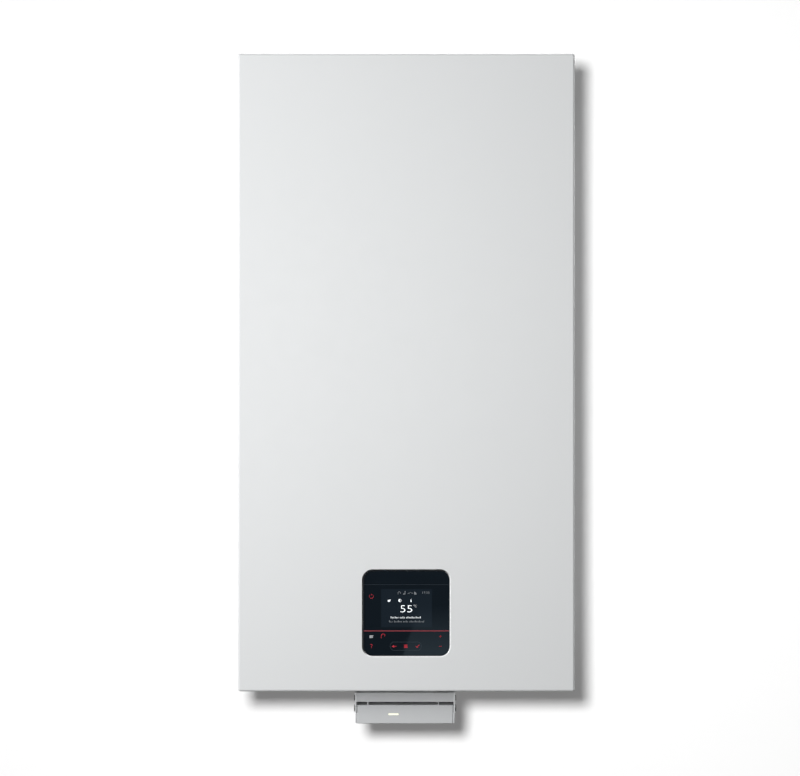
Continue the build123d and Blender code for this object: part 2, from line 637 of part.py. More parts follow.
with BuildPart() as igniter:
    rod(3.6, IGNITER_PLACE[-385], IGNITER_PLACE[-450])
    rod(1, IGNITER_PLACE[-360], IGNITER_PLACE[-385])
    x, y, z = IGNITER_PLACE[-424]
    rounded_block((x - 8, y - 2, z - 8), (x + 8, y, z + 8), 3, "Y")
igniter.part.label = "igniter"
export_step(igniter.part, "parts/igniter.step")


# ---------------------------------------------------------------- fan, mixer and gas
def fan_point(y):
    """The point of the fan's axis at this depth."""
    return (FAN_X, y, up(FAN_Z))


with BuildPart() as fan_housing:
    outlet_low = (EXCHANGER_X - FAN_OUTLET_HALF, FAN_FRONT, up(FAN_Z))
    outlet_high = (EXCHANGER_X + FAN_OUTLET_HALF, FAN_REAR, up(EXCHANGER_Z + 26))
    wall = FAN_WALL
    rod(FAN_RADIUS, fan_point(FAN_REAR), fan_point(FAN_FRONT))
    block(outlet_low, outlet_high)
    rod(FAN_RADIUS - wall, fan_point(FAN_REAR - wall), fan_point(FAN_FRONT + wall), Mode.SUBTRACT)
    block(
        (outlet_low[0] + wall, outlet_low[1] + wall, outlet_low[2]),
        [b - wall for b in outlet_high],
        Mode.SUBTRACT,
    )
    rod(26, fan_point(FAN_REAR + 1), fan_point(FAN_REAR - wall - 1), Mode.SUBTRACT)
    rod(30, fan_point(FAN_FRONT - 1), fan_point(FAN_FRONT + wall + 1), Mode.SUBTRACT)
    rod(INLET_BORE, on_axis(FAN_REAR + 1), on_axis(FAN_REAR - wall - 1), Mode.SUBTRACT)
fan_housing.part.label = "fan_housing"
export_step(fan_housing.part, "parts/fan_housing.step")

MOTOR_FRONT = -538.0
with BuildPart() as fan_motor:
    rod(44, fan_point(FAN_FRONT), fan_point(MOTOR_FRONT))
    fillet(edges().filter_by(GeomType.CIRCLE).group_by(Axis.Y)[0], 9)
    for number in range(3):
        angle = math.radians(90 + 120 * number)
        x, z = FAN_X + 49 * math.cos(angle), up(FAN_Z) + 49 * math.sin(angle)
        rod(8, (x, FAN_FRONT, z), (x, FAN_FRONT - 5, z))
    rounded_block(
        (FAN_X - 52, -526, up(FAN_Z - 14)), (FAN_X - 38, -504, up(FAN_Z + 14)), 3, "X"
    )
    rod(SHAFT + FIT, fan_point(FAN_FRONT + 1), fan_point(-524), Mode.SUBTRACT)
fan_motor.part.label = "fan_motor"
export_step(fan_motor.part, "parts/fan_motor.step")

with BuildPart() as fan_impeller:
    DISC_REAR, DISC_FRONT = -484.0, -488.0
    BLADE_REAR = -460.0
    rod(IMPELLER_RADIUS, fan_point(DISC_REAR), fan_point(DISC_FRONT))
    rod(12, fan_point(BLADE_REAR - 4), fan_point(DISC_REAR))
    rod(SHAFT, fan_point(DISC_REAR), fan_point(-523))
    for number in range(16):
        turn = math.radians(22.5 * number)
        lean = math.radians(22.5 * number + 35)
        foot = Vector(FAN_X + 30 * math.cos(turn), DISC_REAR - 1, up(FAN_Z) + 30 * math.sin(turn))
        along = Vector(math.cos(lean), 0, math.sin(lean))
        with BuildSketch(Plane(origin=foot, x_dir=along, z_dir=(0, 1, 0))) as blade:
            with Locations((12, 0)):
                Rectangle(26, 1.6)
        extrude(blade.sketch, amount=BLADE_REAR - DISC_REAR + 1)
fan_impeller.part.label = "fan_impeller"
export_step(fan_impeller.part, "parts/fan_impeller.step")

with BuildPart() as gas_air_mixer:
    low = (FAN_X - 32, MIXER_FRONT, up(FAN_Z - 32))
    high = (FAN_X + 32, MIXER_REAR, up(FAN_Z + 32))
    rounded_block(low, high, 10, "Y")
    middle = (MIXER_REAR + MIXER_FRONT) / 2
    rod(30, fan_point(MIXER_FRONT + 1), fan_point(FAN_REAR))
    rod(18, (FAN_X, middle, up(FAN_Z)), (FAN_X + 42, middle, up(FAN_Z)))
    rod(10, (FAN_X, GAS_PORT_Y, up(VALVE_HIGH)), (FAN_X, GAS_PORT_Y, up(FAN_Z - 31)))
    rod(24, fan_point(middle + 15), fan_point(FAN_REAR - 1), Mode.SUBTRACT)
    rod(16, (FAN_X, middle, up(FAN_Z)), (FAN_X + 43, middle, up(FAN_Z)), Mode.SUBTRACT)
    rod(6, (FAN_X, GAS_PORT_Y, up(VALVE_HIGH - 1)), (FAN_X, GAS_PORT_Y, up(FAN_Z - 20)), Mode.SUBTRACT)
gas_air_mixer.part.label = "gas_air_mixer"
export_step(gas_air_mixer.part, "parts/gas_air_mixer.step")

with BuildPart() as air_silencer:
    SNORKEL_Y = -412.0
    rounded_block((FAN_X + 42, -440, up(455)), (38, -384, up(575)), 14, "Z")
    rod(20, (0, SNORKEL_Y, up(570)), (0, SNORKEL_Y, up(820)))
    rod(17.5, (0, SNORKEL_Y, up(500)), (0, SNORKEL_Y, up(821)), Mode.SUBTRACT)
    rod(16, (FAN_X + 40, middle, up(FAN_Z)), (0, middle, up(FAN_Z)), Mode.SUBTRACT)
    ring(24, 17.5, (0, SNORKEL_Y, up(814)), (0, SNORKEL_Y, up(820)))
air_silencer.part.label = "air_silencer"
export_step(air_silencer.part, "parts/air_silencer.step")

with BuildPart() as gas_valve:
    rounded_block((FAN_X - 28, -450, up(VALVE_LOW)), (FAN_X + 28, -400, up(VALVE_HIGH)), 5, "Y")
    for x in (FAN_X - 13.5, FAN_X + 13.5):
        rod(12, (x, -450, up(412)), (x, -474, up(412)))
    rod(6, (FAN_X, -450, up(450)), (FAN_X, -451.5, up(450)))
    rod(13, (FAN_X, GAS_PORT_Y, up(VALVE_LOW - 8)), (FAN_X, GAS_PORT_Y, up(VALVE_LOW)))
gas_valve.part.label = "gas_valve"
export_step(gas_valve.part, "parts/gas_valve.step")


def stub(name):
    """The pipe's end under the floor, with the union above it."""
    x, radius = STUBS[name]
    rod(radius, (x, STUB_Y, up(STUB_END)), (x, STUB_Y, up(UNION_LOW + 1)))
    hexagon(radius + 5, (x, STUB_Y, up(UNION_LOW)), (x, STUB_Y, up(UNION_HIGH)))
    return (x, STUB_Y, up(UNION_HIGH))


def stub_bore(name):
    """The hole up the middle of a pipe's end."""
    x, radius = STUBS[name]
    rod(
        radius - PIPE_WALL,
        (x, STUB_Y, up(STUB_END - 1)),
        (x, STUB_Y, up(PAN)),
        Mode.SUBTRACT,
    )


with BuildPart() as gas_pipe:
    start = stub("gas")
    gas_x = start[0]
    pipe(
        [
            start,
            (gas_x, STUB_Y, up(FLOOR_RUN)),
            (gas_x, -275, up(FLOOR_RUN)),
            (gas_x, -275, up(345)),
            (gas_x, GAS_PORT_Y, up(345)),
            (FAN_X, GAS_PORT_Y, up(345)),
            (FAN_X, GAS_PORT_Y, up(VALVE_LOW - 8)),
        ],
        INNER_HEATING,
        [18, 18, 18, 15, 15],
    )
    stub_bore("gas")
gas_pipe.part.label = "gas_pipe"
export_step(gas_pipe.part, "parts/gas_pipe.step")

# ---------------------------------------------------------------- tanks and vessels
with BuildPart() as storage_tanks:
    tank = (TANK_X, TANK_Y)
    vessel(tank, up(TANK_LOW), up(TANK_HIGH - 8), TANK_RADIUS, 34, 16, TANK_WALL)
    ring(PORT + 1, PORT - 1, (*tank, up(TANK_LOW - 11)), (*tank, up(TANK_LOW + 1)))
    ring(PORT + 1, PORT - 1, (*tank, up(TANK_HIGH - 9)), (*tank, up(TANK_HIGH)))
    rod(PORT - 1, (*tank, up(TANK_LOW - 12)), (*tank, up(TANK_HIGH + 1)), Mode.SUBTRACT)
    mirror(about=Plane.YZ)
storage_tanks.part.label = "storage_tanks"
export_step(storage_tanks.part, "parts/storage_tanks.step")

with BuildPart() as tank_insulation:
    shelf_top = up(SHELF + BULKHEAD_SHEET)
    rod(SLEEVE_RADIUS, (*tank, shelf_top), (*tank, up(862)))
    fillet(edges().filter_by(GeomType.CIRCLE), 18)
    rod(TANK_RADIUS + GAP, (*tank, up(TANK_LOW - 2)), (*tank, up(TANK_HIGH - 6)), Mode.SUBTRACT)
    rod(PORT + 2, (*tank, shelf_top - 1), (*tank, up(870)), Mode.SUBTRACT)
    mirror(about=Plane.YZ)
tank_insulation.part.label = "tank_insulation"
export_step(tank_insulation.part, "parts/tank_insulation.step")

with BuildPart() as heating_expansion_vessel:
    place = (EXPANSION_X, RUN_Y)
    vessel(place, up(430), up(860), EXPANSION_RADIUS, 30, 14, VESSEL_WALL)
    ring(EXPANSION_RADIUS + 2, EXPANSION_RADIUS - VESSEL_WALL, (*place, up(634)), (*place, up(646)))
    rod(9, (*place, up(418)), (*place, up(432)))
    rod(VESSEL_PORT, (*place, up(417)), (*place, up(434)), Mode.SUBTRACT)
    rod(5, (*place, up(858)), (*place, up(868)))
heating_expansion_vessel.part.label = "heating_expansion_vessel"
export_step(heating_expansion_vessel.part, "parts/heating_expansion_vessel.step")

with BuildPart() as water_expansion_vessel:
    vessel(SMALL_VESSEL, up(270), up(430), SMALL_RADIUS, 16, 9, VESSEL_WALL)
    ring(SMALL_RADIUS + 2, SMALL_RADIUS - VESSEL_WALL, (*SMALL_VESSEL, up(340)), (*SMALL_VESSEL, up(360)))
    rod(8, (*SMALL_VESSEL, up(256)), (*SMALL_VESSEL, up(272)))
    rod(VESSEL_PORT, (*SMALL_VESSEL, up(255)), (*SMALL_VESSEL, up(274)), Mode.SUBTRACT)
water_expansion_vessel.part.label = "water_expansion_vessel"
export_step(water_expansion_vessel.part, "parts/water_expansion_vessel.step")

# ---------------------------------------------------------------- water parts
PRIMARY_IN_Z, PRIMARY_OUT_X = 170.0, 60.0
HOT_PORT = (STUBS["hot"][0], 320.0)
COLD_PORT = (54.0, 180.0)
PLATE_COUNT = 15
with BuildPart() as plate_heat_exchanger:
    pitch = (PLATES_REAR - PLATES_FRONT) / PLATE_COUNT
    for number in range(PLATE_COUNT):
        rear = PLATES_REAR - number * pitch
        rounded_block(
            (PLATES_LOW[0], rear - 0.55 * pitch, up(PLATES_LOW[1])),
            (PLATES_HIGH[0], rear, up(PLATES_HIGH[1])),
            14,
            "Y",
        )
        rounded_block(
            (PLATES_LOW[0] + 2.5, rear - pitch, up(PLATES_LOW[1] + 2.5)),
            (PLATES_HIGH[0] - 2.5, rear - 0.5 * pitch, up(PLATES_HIGH[1] - 2.5)),
            11.5,
            "Y",
        )
    rounded_block(
        (PLATES_LOW[0], PLATES_FRONT - 3, up(PLATES_LOW[1])),
        (PLATES_HIGH[0], PLATES_FRONT, up(PLATES_HIGH[1])),
        14,
        "Y",
    )
    for x, height in (HOT_PORT, COLD_PORT):
        rod(12, (x, PLATES_FRONT - 1, up(height)), (x, PLATES_FRONT - 12, up(height)))
    rod(12, (106, -300, up(PRIMARY_IN_Z)), (120, -300, up(PRIMARY_IN_Z)))
    rod(12, (PRIMARY_OUT_X, -296, up(143)), (PRIMARY_OUT_X, -296, up(160)))
plate_heat_exchanger.part.label = "plate_heat_exchanger"
export_step(plate_heat_exchanger.part, "parts/plate_heat_exchanger.step")

PUMP_X = STUBS["return"][0]


def pump_point(y, height=PUMP_Z):
    """A point in front of the heating pump's middle."""
    return (PUMP_X, y, up(height))


with BuildPart() as heating_pump_body:
    rod(40, pump_point(PUMP_Y + 25), pump_point(PUMP_Y - 26))
    fillet(edges().filter_by(GeomType.CIRCLE).group_by(Axis.Y)[-1], 8)
    for end in (PUMP_Z - 62, PUMP_Z + 62):
        outer_end = end + (10 if end < PUMP_Z else -10)
        rod(15, pump_point(PUMP_Y), pump_point(PUMP_Y, end))
        hexagon(20, pump_point(PUMP_Y, outer_end), pump_point(PUMP_Y, end))
        rod(9, pump_point(PUMP_Y), pump_point(PUMP_Y, end * 1.001 if end > PUMP_Z else end - 1), Mode.SUBTRACT)
    rod(33, pump_point(PUMP_Y + 12), pump_point(PUMP_Y - 27), Mode.SUBTRACT)
heating_pump_body.part.label = "heating_pump_body"
export_step(heating_pump_body.part, "parts/heating_pump_body.step")

with BuildPart() as heating_pump_motor:
    rod(46, pump_point(PUMP_Y - 26), pump_point(-428))
    rounded_block(
        (PUMP_X - 42, -450, up(PUMP_Z - 42)), (PUMP_X + 42, -426, up(PUMP_Z + 42)), 8, "Y"
    )
    rod(33, pump_point(PUMP_Y - 25), pump_point(PUMP_Y - 30), Mode.SUBTRACT)
    rod(19, pump_point(PUMP_Y - 29), pump_point(-415), Mode.SUBTRACT)
    rod(SHAFT + FIT, pump_point(-414), pump_point(-424), Mode.SUBTRACT)
heating_pump_motor.part.label = "heating_pump_motor"
export_step(heating_pump_motor.part, "parts/heating_pump_motor.step")

with BuildPart() as heating_pump_rotor:
    rod(30, pump_point(PUMP_Y - 12), pump_point(PUMP_Y - 22))
    rod(12, pump_point(PUMP_Y - 4), pump_point(PUMP_Y - 13))
    rod(SHAFT, pump_point(PUMP_Y - 20), pump_point(-423))
    rod(17, pump_point(PUMP_Y - 34), pump_point(-412))
    for number in range(6):
        turn = math.radians(60 * number)
        x, z = PUMP_X + 24 * math.cos(turn), up(PUMP_Z) + 24 * math.sin(turn)
        rod(3, (x, PUMP_Y - 8, z), (x, PUMP_Y - 13, z))
heating_pump_rotor.part.label = "heating_pump_rotor"
export_step(heating_pump_rotor.part, "parts/heating_pump_rotor.step")


def charge_point(y, height=CHARGE_Z):
    """A point in front of the charging pump's middle."""
    return (CHARGE_X, y, up(height))


CHARGE_PORT = 52.0
with BuildPart() as charging_pump_housing:
    rod(34, charge_point(CHARGE_Y + 23), charge_point(CHARGE_Y - 25))
    rod(35, charge_point(CHARGE_Y - 24), charge_point(-425))
    fillet(edges().filter_by(GeomType.CIRCLE).group_by(Axis.Y)[0], 5)
    for end in (CHARGE_Z - CHARGE_PORT, CHARGE_Z + CHARGE_PORT):
        rod(12, charge_point(CHARGE_Y), charge_point(CHARGE_Y, end))
        rod(6, charge_point(CHARGE_Y), charge_point(CHARGE_Y, end), Mode.SUBTRACT)
    rod(26, charge_point(CHARGE_Y + 10), charge_point(CHARGE_Y - 25), Mode.SUBTRACT)
    rod(16, charge_point(CHARGE_Y - 24), charge_point(-400), Mode.SUBTRACT)
    rod(SHAFT + FIT, charge_point(-399), charge_point(-410), Mode.SUBTRACT)
charging_pump_housing.part.label = "charging_pump_housing"
export_step(charging_pump_housing.part, "parts/charging_pump_housing.step")

with BuildPart() as charging_pump_rotor:
    rod(23, charge_point(CHARGE_Y - 12), charge_point(CHARGE_Y - 20))
    rod(9, charge_point(CHARGE_Y - 4), charge_point(CHARGE_Y - 13))
    rod(SHAFT, charge_point(CHARGE_Y - 18), charge_point(-409))
    rod(14, charge_point(CHARGE_Y - 28), charge_point(-396))
    for number in range(6):
        turn = math.radians(60 * number)
        x, z = CHARGE_X + 18 * math.cos(turn), up(CHARGE_Z) + 18 * math.sin(turn)
        rod(2.5, (x, CHARGE_Y - 8, z), (x, CHARGE_Y - 13, z))
charging_pump_rotor.part.label = "charging_pump_rotor"
export_step(charging_pump_rotor.part, "parts/charging_pump_rotor.step")

SPINDLE = 4.0
SPINDLE_TRAVEL = 8.0
DIVERTER_PORT = 55.0
with BuildPart() as diverter_body:
    middle = up(DIVERTER_Z)
    x = DIVERTER_X
    rod(18, (x, RUN_Y + 21, middle), (x, -368, middle))
    for end in (-DIVERTER_PORT, DIVERTER_PORT):
        rod(13, (x, RUN_Y, middle), (x, RUN_Y, middle + end))
        hexagon(17, (x, RUN_Y, middle + 0.8 * end), (x, RUN_Y, middle + end))
    rod(12, (x, RUN_Y, middle), (x - 25, RUN_Y, middle))
    rod(9, (x, RUN_Y, middle), (x + 21, RUN_Y, middle))
    rod(12, (x, RUN_Y + 13, middle), (x, -362, middle), Mode.SUBTRACT)
    rod(8, (x, RUN_Y, middle - DIVERTER_PORT - 1), (x, RUN_Y, middle + DIVERTER_PORT + 1), Mode.SUBTRACT)
    rod(7, (x - 26, RUN_Y, middle), (x, RUN_Y, middle), Mode.SUBTRACT)
    rod(SPINDLE + FIT, (x, -360, middle), (x, -370, middle), Mode.SUBTRACT)
diverter_body.part.label = "diverter_body"
export_step(diverter_body.part, "parts/diverter_body.step")

with BuildPart() as diverter_motor:
    rounded_block((x - 25, -430, middle - 30), (x + 25, -368, middle + 30), 6, "Y")
    rod(12, (x, -367, middle), (x, -410, middle), Mode.SUBTRACT)
    rounded_block((x - 12, -436, middle - 22), (x + 12, -429, middle - 8), 2, "Y")
diverter_motor.part.label = "diverter_motor"
export_step(diverter_motor.part, "parts/diverter_motor.step")

with BuildPart() as diverter_spindle:
    rod(SPINDLE, (x, -338, middle), (x, -392, middle))
    rod(10.5, (x, -338, middle), (x, -344, middle))
    rod(9, (x, -386, middle), (x, -392, middle))
diverter_spindle.part.label = "diverter_spindle"
export_step(diverter_spindle.part, "parts/diverter_spindle.step")

RELIEF_X = DIVERTER_X + 36
with BuildPart() as relief_valve_body:
    rod(12, (RELIEF_X, RUN_Y, middle - 20), (RELIEF_X, RUN_Y, middle + 22))
    hexagon(14, (RELIEF_X, RUN_Y, middle - 9), (RELIEF_X, RUN_Y, middle + 9))
    rod(7, (DIVERTER_X + 21, RUN_Y, middle), (RELIEF_X, RUN_Y, middle))
    rod(8, (RELIEF_X, RUN_Y, middle - 34), (RELIEF_X, RUN_Y, middle - 19))
    rod(4, (RELIEF_X, RUN_Y, middle + 21), (RELIEF_X, RUN_Y, middle + 34))
relief_valve_body.part.label = "relief_valve_body"
export_step(relief_valve_body.part, "parts/relief_valve_body.step")

with BuildPart() as relief_valve_knob:
    knob_low = middle + 22 + GAP
    rod(KNOB_RADIUS, (RELIEF_X, RUN_Y, knob_low), (RELIEF_X, RUN_Y, knob_low + 17))
    for number in range(10):
        turn = math.radians(36 * number)
        x, y = RELIEF_X + (KNOB_RADIUS + 0.6) * math.cos(turn), RUN_Y + (KNOB_RADIUS + 0.6) * math.sin(turn)
        rod(1.6, (x, y, knob_low - 1), (x, y, knob_low + 18), Mode.SUBTRACT)
    rod(SHAFT + FIT, (RELIEF_X, RUN_Y, knob_low - 1), (RELIEF_X, RUN_Y, middle + 35), Mode.SUBTRACT)
relief_valve_knob.part.label = "relief_valve_knob"
export_step(relief_valve_knob.part, "parts/relief_valve_knob.step")

TAP_STEM = 3.0
with BuildPart() as filling_tap_body:
    tap = (TAP_X, TAP_Y)
    rod(TAP_HOSE, (*tap, up(STUB_END + 20)), (*tap, up(PAN)))
    rod(TAP_HOSE + 3, (*tap, up(PAN - 4)), (*tap, up(PAN_TOP + 24)))
    rod(TAP_HOSE + 8, (*tap, up(PAN - 6)), (*tap, up(PAN)))
    hexagon(TAP_HOSE + 8, (*tap, up(PAN_TOP)), (*tap, up(PAN_TOP + 8)))
    rod(TAP_STEM, (*tap, up(PAN_TOP + 20)), (*tap, up(PAN_TOP + 40)))
    rod(5, (*tap, up(STUB_END + 19)), (*tap, up(PAN + 6)), Mode.SUBTRACT)
filling_tap_body.part.label = "filling_tap_body"
export_step(filling_tap_body.part, "parts/filling_tap_body.step")

with BuildPart() as filling_tap_handle:
    handle_low = up(PAN_TOP + 24) + GAP
    rod(8, (*tap, handle_low), (*tap, handle_low + 8))
    rounded_block((TAP_X, TAP_Y - 4.5, handle_low), (TAP_X + 36, TAP_Y + 4.5, handle_low + 5), 4.4, "Z")
    rod(TAP_STEM + FIT, (*tap, handle_low - 1), (*tap, handle_low + 9), Mode.SUBTRACT)
filling_tap_handle.part.label = "filling_tap_handle"
export_step(filling_tap_handle.part, "parts/filling_tap_handle.step")

RETURN_END = up(PUMP_Z - 62)
FLOW_NIPPLE = on_exchanger(HEADER_RADIUS, NIPPLES[0], NIPPLE_Y)
CROSS_RUN = 400.0  # height of the flow pipe where it crosses the boiler
with BuildPart() as heating_pipes:
    start = stub("return")
    pipe(
        [start, (PUMP_X, STUB_Y, up(FLOOR_RUN)), (PUMP_X, PUMP_Y, up(FLOOR_RUN)), (PUMP_X, PUMP_Y, RETURN_END)],
        HEATING_PIPE,
        20,
    )
    pipe(
        [
            (PRIMARY_OUT_X, -296, up(143)),
            (PRIMARY_OUT_X, -296, up(88)),
            (PUMP_X + 12, -296, up(88)),
            (PUMP_X, PUMP_Y + 6, up(88)),
        ],
        INNER_HEATING,
        [18, 12],
    )
    pipe(
        [
            (PUMP_X, PUMP_Y, up(PUMP_Z + 62)),
            (PUMP_X, PUMP_Y, up(290)),
            (PUMP_X, NIPPLE_Y, up(340)),
            (PUMP_X, NIPPLE_Y, up(NIPPLE_END)),
        ],
        INNER_HEATING,
        22,
    )
    start = stub("flow")
    pipe(
        [
            start,
            (DIVERTER_X, STUB_Y, up(FLOOR_RUN)),
            (DIVERTER_X, RUN_Y, up(FLOOR_RUN)),
            (DIVERTER_X, RUN_Y, middle - DIVERTER_PORT),
        ],
        HEATING_PIPE,
        20,
    )
    pipe(
        [
            (FLOW_NIPPLE[0], NIPPLE_Y, up(NIPPLE_END)),
            (FLOW_NIPPLE[0], NIPPLE_Y, up(500)),
            (FLOW_NIPPLE[0], RUN_Y, up(450)),
            (FLOW_NIPPLE[0], RUN_Y, up(CROSS_RUN)),
            (DIVERTER_X, RUN_Y, up(CROSS_RUN)),
            (DIVERTER_X, RUN_Y, middle + DIVERTER_PORT),
        ],
        INNER_HEATING,
        [20, 20, 20, 22],
    )
    rod(6, (EXPANSION_X, RUN_Y, up(CROSS_RUN)), (EXPANSION_X, RUN_Y, up(418)))
    pipe(
        [
            (DIVERTER_X - 25, RUN_Y, middle),
            (134, RUN_Y, middle),
            (134, -300, middle),
            (120, -300, middle),
        ],
        INNER_HEATING,
        10,
    )
    stub_bore("return")
    stub_bore("flow")
heating_pipes.part.label = "heating_pipes"
export_step(heating_pipes.part, "parts/heating_pipes.step")

COLD_X, HOT_X = STUBS["cold"][0], STUBS["hot"][0]
LOOP_Y = -372.0
CROSS_TOP = 875.0
with BuildPart() as water_pipes:
    start = stub("cold")
    pipe(
        [
            start,
            (COLD_X, STUB_Y, up(FLOOR_RUN)),
            (COLD_X, CHARGE_Y, up(FLOOR_RUN)),
            (COLD_X, CHARGE_Y, up(CHARGE_Z - CHARGE_PORT)),
        ],
        WATER_PIPE,
        18,
    )
    pipe(
        [
            (-TANK_X, TANK_Y, up(TANK_LOW - 11)),
            (-TANK_X, TANK_Y, up(FLOOR_RUN)),
            (COLD_X, TANK_Y, up(FLOOR_RUN)),
            (COLD_X, STUB_Y - 40, up(FLOOR_RUN)),
        ],
        WATER_PIPE,
        14,
    )
    pipe(
        [
            (*SMALL_VESSEL, up(256)),
            (*SMALL_VESSEL, up(FLOOR_RUN)),
            (COLD_X, SMALL_VESSEL[1], up(FLOOR_RUN)),
            (COLD_X, CHARGE_Y + 20, up(FLOOR_RUN)),
        ],
        5,
        18,
    )
    pipe(
        [
            charge_point(CHARGE_Y, CHARGE_Z + CHARGE_PORT),
            charge_point(CHARGE_Y, 235),
            charge_point(LOOP_Y, 235),
            (COLD_PORT[0], LOOP_Y, up(235)),
            (COLD_PORT[0], LOOP_Y, up(COLD_PORT[1])),
            (COLD_PORT[0], PLATES_FRONT - 12, up(COLD_PORT[1])),
        ],
        WATER_PIPE,
        14,
    )
    start = stub("hot")
    pipe(
        [
            start,
            (HOT_X, STUB_Y, up(FLOOR_RUN)),
            (HOT_X, LOOP_Y, up(FLOOR_RUN)),
            (HOT_X, LOOP_Y, up(HOT_PORT[1])),
            (HOT_X, PLATES_FRONT - 12, up(HOT_PORT[1])),
        ],
        WATER_PIPE,
        [18, 18, 14],
    )
    pipe(
        [
            (TANK_X, TANK_Y, up(TANK_LOW - 11)),
            (TANK_X, TANK_Y, up(FLOOR_RUN)),
            (HOT_X, STUB_Y - 20, up(FLOOR_RUN)),
            (HOT_X, STUB_Y - 40, up(FLOOR_RUN)),
        ],
        WATER_PIPE,
        [12, 12],
    )
    pipe(
        [
            (-TANK_X, TANK_Y, up(TANK_HIGH)),
            (-TANK_X, TANK_Y, up(CROSS_TOP)),
            (TANK_X, TANK_Y, up(CROSS_TOP)),
            (TANK_X, TANK_Y, up(TANK_HIGH)),
        ],
        WATER_PIPE,
        14,
    )
    stub_bore("cold")
    stub_bore("hot")
water_pipes.part.label = "water_pipes"
export_step(water_pipes.part, "parts/water_pipes.step")

with BuildPart() as wiring_loom:
    CABLE = 3.0
    rounded_block((-230, -505, up(PAN_TOP)), (-201, -478, up(60)), 3, "Z")
    pipe(
        [
            (-222, -496, up(60)),
            (-222, -496, up(440)),
            (-205, -515, up(FAN_Z)),
            (FAN_X - 52, -515, up(FAN_Z)),
        ],
        CABLE,
        [40, 20],
    )
    pipe(
        [
            (-212, -488, up(60)),
            (-212, -488, up(400)),
            (-190, -430, up(450)),
            (FAN_X - 28, -430, up(450)),
        ],
        CABLE,
        [30, 20],
    )
    pipe(
        [
            (-209, -484, up(60)),
            (-209, -484, up(170)),
            (-190, -438, up(PUMP_Z)),
            (PUMP_X - 42, -438, up(PUMP_Z)),
        ],
        CABLE,
        [18, 14],
    )
wiring_loom.part.label = "wiring_loom"
export_step(wiring_loom.part, "parts/wiring_loom.step")

# ---------------------------------------------------------------- front cover
with BuildPart() as front_cover:
    rounded_block((-HALF, FRONT, BASE), (HALF, RIM, TOP), COVER_RADIUS + 0.2, "Y")
    fillet(edges().group_by(Axis.Y)[0], COVER_RADIUS)
    inner = HALF - COVER_SHEET
    rounded_block(
        (-inner, FRONT + COVER_SHEET, BASE + COVER_SHEET),
        (inner, RIM - COVER_SHEET, TOP - COVER_SHEET),
        COVER_RADIUS - COVER_SHEET,
        "Y",
        Mode.SUBTRACT,
    )
    lip = inner - RIM_LIP
    rounded_block(
        (-lip, RIM - 2 * COVER_SHEET, BASE + COVER_SHEET + RIM_LIP),
        (lip, RIM + 1, TOP - COVER_SHEET - RIM_LIP),
        2,
        "Y",
        Mode.SUBTRACT,
    )
    window = Plane(origin=(0, FRONT, up(GLASS_CENTRE)), x_dir=(1, 0, 0), z_dir=(0, 1, 0))
    with BuildSketch(window) as surround:
        RectangleRounded(
            GLASS_WIDTH + 2 * WINDOW_BEVEL + 5,
            GLASS_HEIGHT + 2 * WINDOW_BEVEL + 5,
            GLASS_RADIUS + WINDOW_BEVEL + 2.5,
        )
    extrude(surround.sketch, amount=WINDOW_LIP)
    with BuildSketch(window) as mouth:
        RectangleRounded(
            GLASS_WIDTH + 2 * WINDOW_BEVEL, GLASS_HEIGHT + 2 * WINDOW_BEVEL, GLASS_RADIUS + WINDOW_BEVEL
        )
    with BuildSketch(window.offset(WINDOW_LIP)) as throat:
        RectangleRounded(GLASS_WIDTH, GLASS_HEIGHT, GLASS_RADIUS)
    loft([mouth.sketch.face(), throat.sketch.face()], mode=Mode.SUBTRACT)
front_cover.part.label = "front_cover"
export_step(front_cover.part, "parts/front_cover.step")

with BuildPart() as cover_insulation:
    MAT_REAR = -556.0
    rounded_block(
        (-214, FRONT + COVER_SHEET, up(232)), (214, MAT_REAR, TOP - 34), 10, "Y"
    )
    for column in range(3):
        for row in range(4):
            x = -136 + column * 136
            z = up(300) + row * 138
            rounded_block((x - 58, MAT_REAR - 4, z - 58), (x + 58, MAT_REAR + 1, z + 58), 8, "Y", Mode.SUBTRACT)
cover_insulation.part.label = "cover_insulation"
export_step(cover_insulation.part, "parts/cover_insulation.step")

HOOK_LOW = TAB_TOP - 3.5
with BuildPart() as cover_hooks:
    for side in (-1, 1):
        low, high = sorted((side * TAB_LOW_X, side * TAB_HIGH_X))
        block(
            (low, FRONT + COVER_SHEET, TAB_TOP + GAP),
            (high, CHASSIS - 5, TAB_TOP + GAP + 2),
        )
        block((low, CHASSIS - 7, HOOK_LOW), (high, CHASSIS - 5, TAB_TOP + GAP + 2))
        block(
            (low, FRONT + COVER_SHEET, TAB_TOP - 16),
            (high, FRONT + COVER_SHEET + 1.5, TAB_TOP + GAP + 2),
        )
cover_hooks.part.label = "cover_hooks"
export_step(cover_hooks.part, "parts/cover_hooks.step")

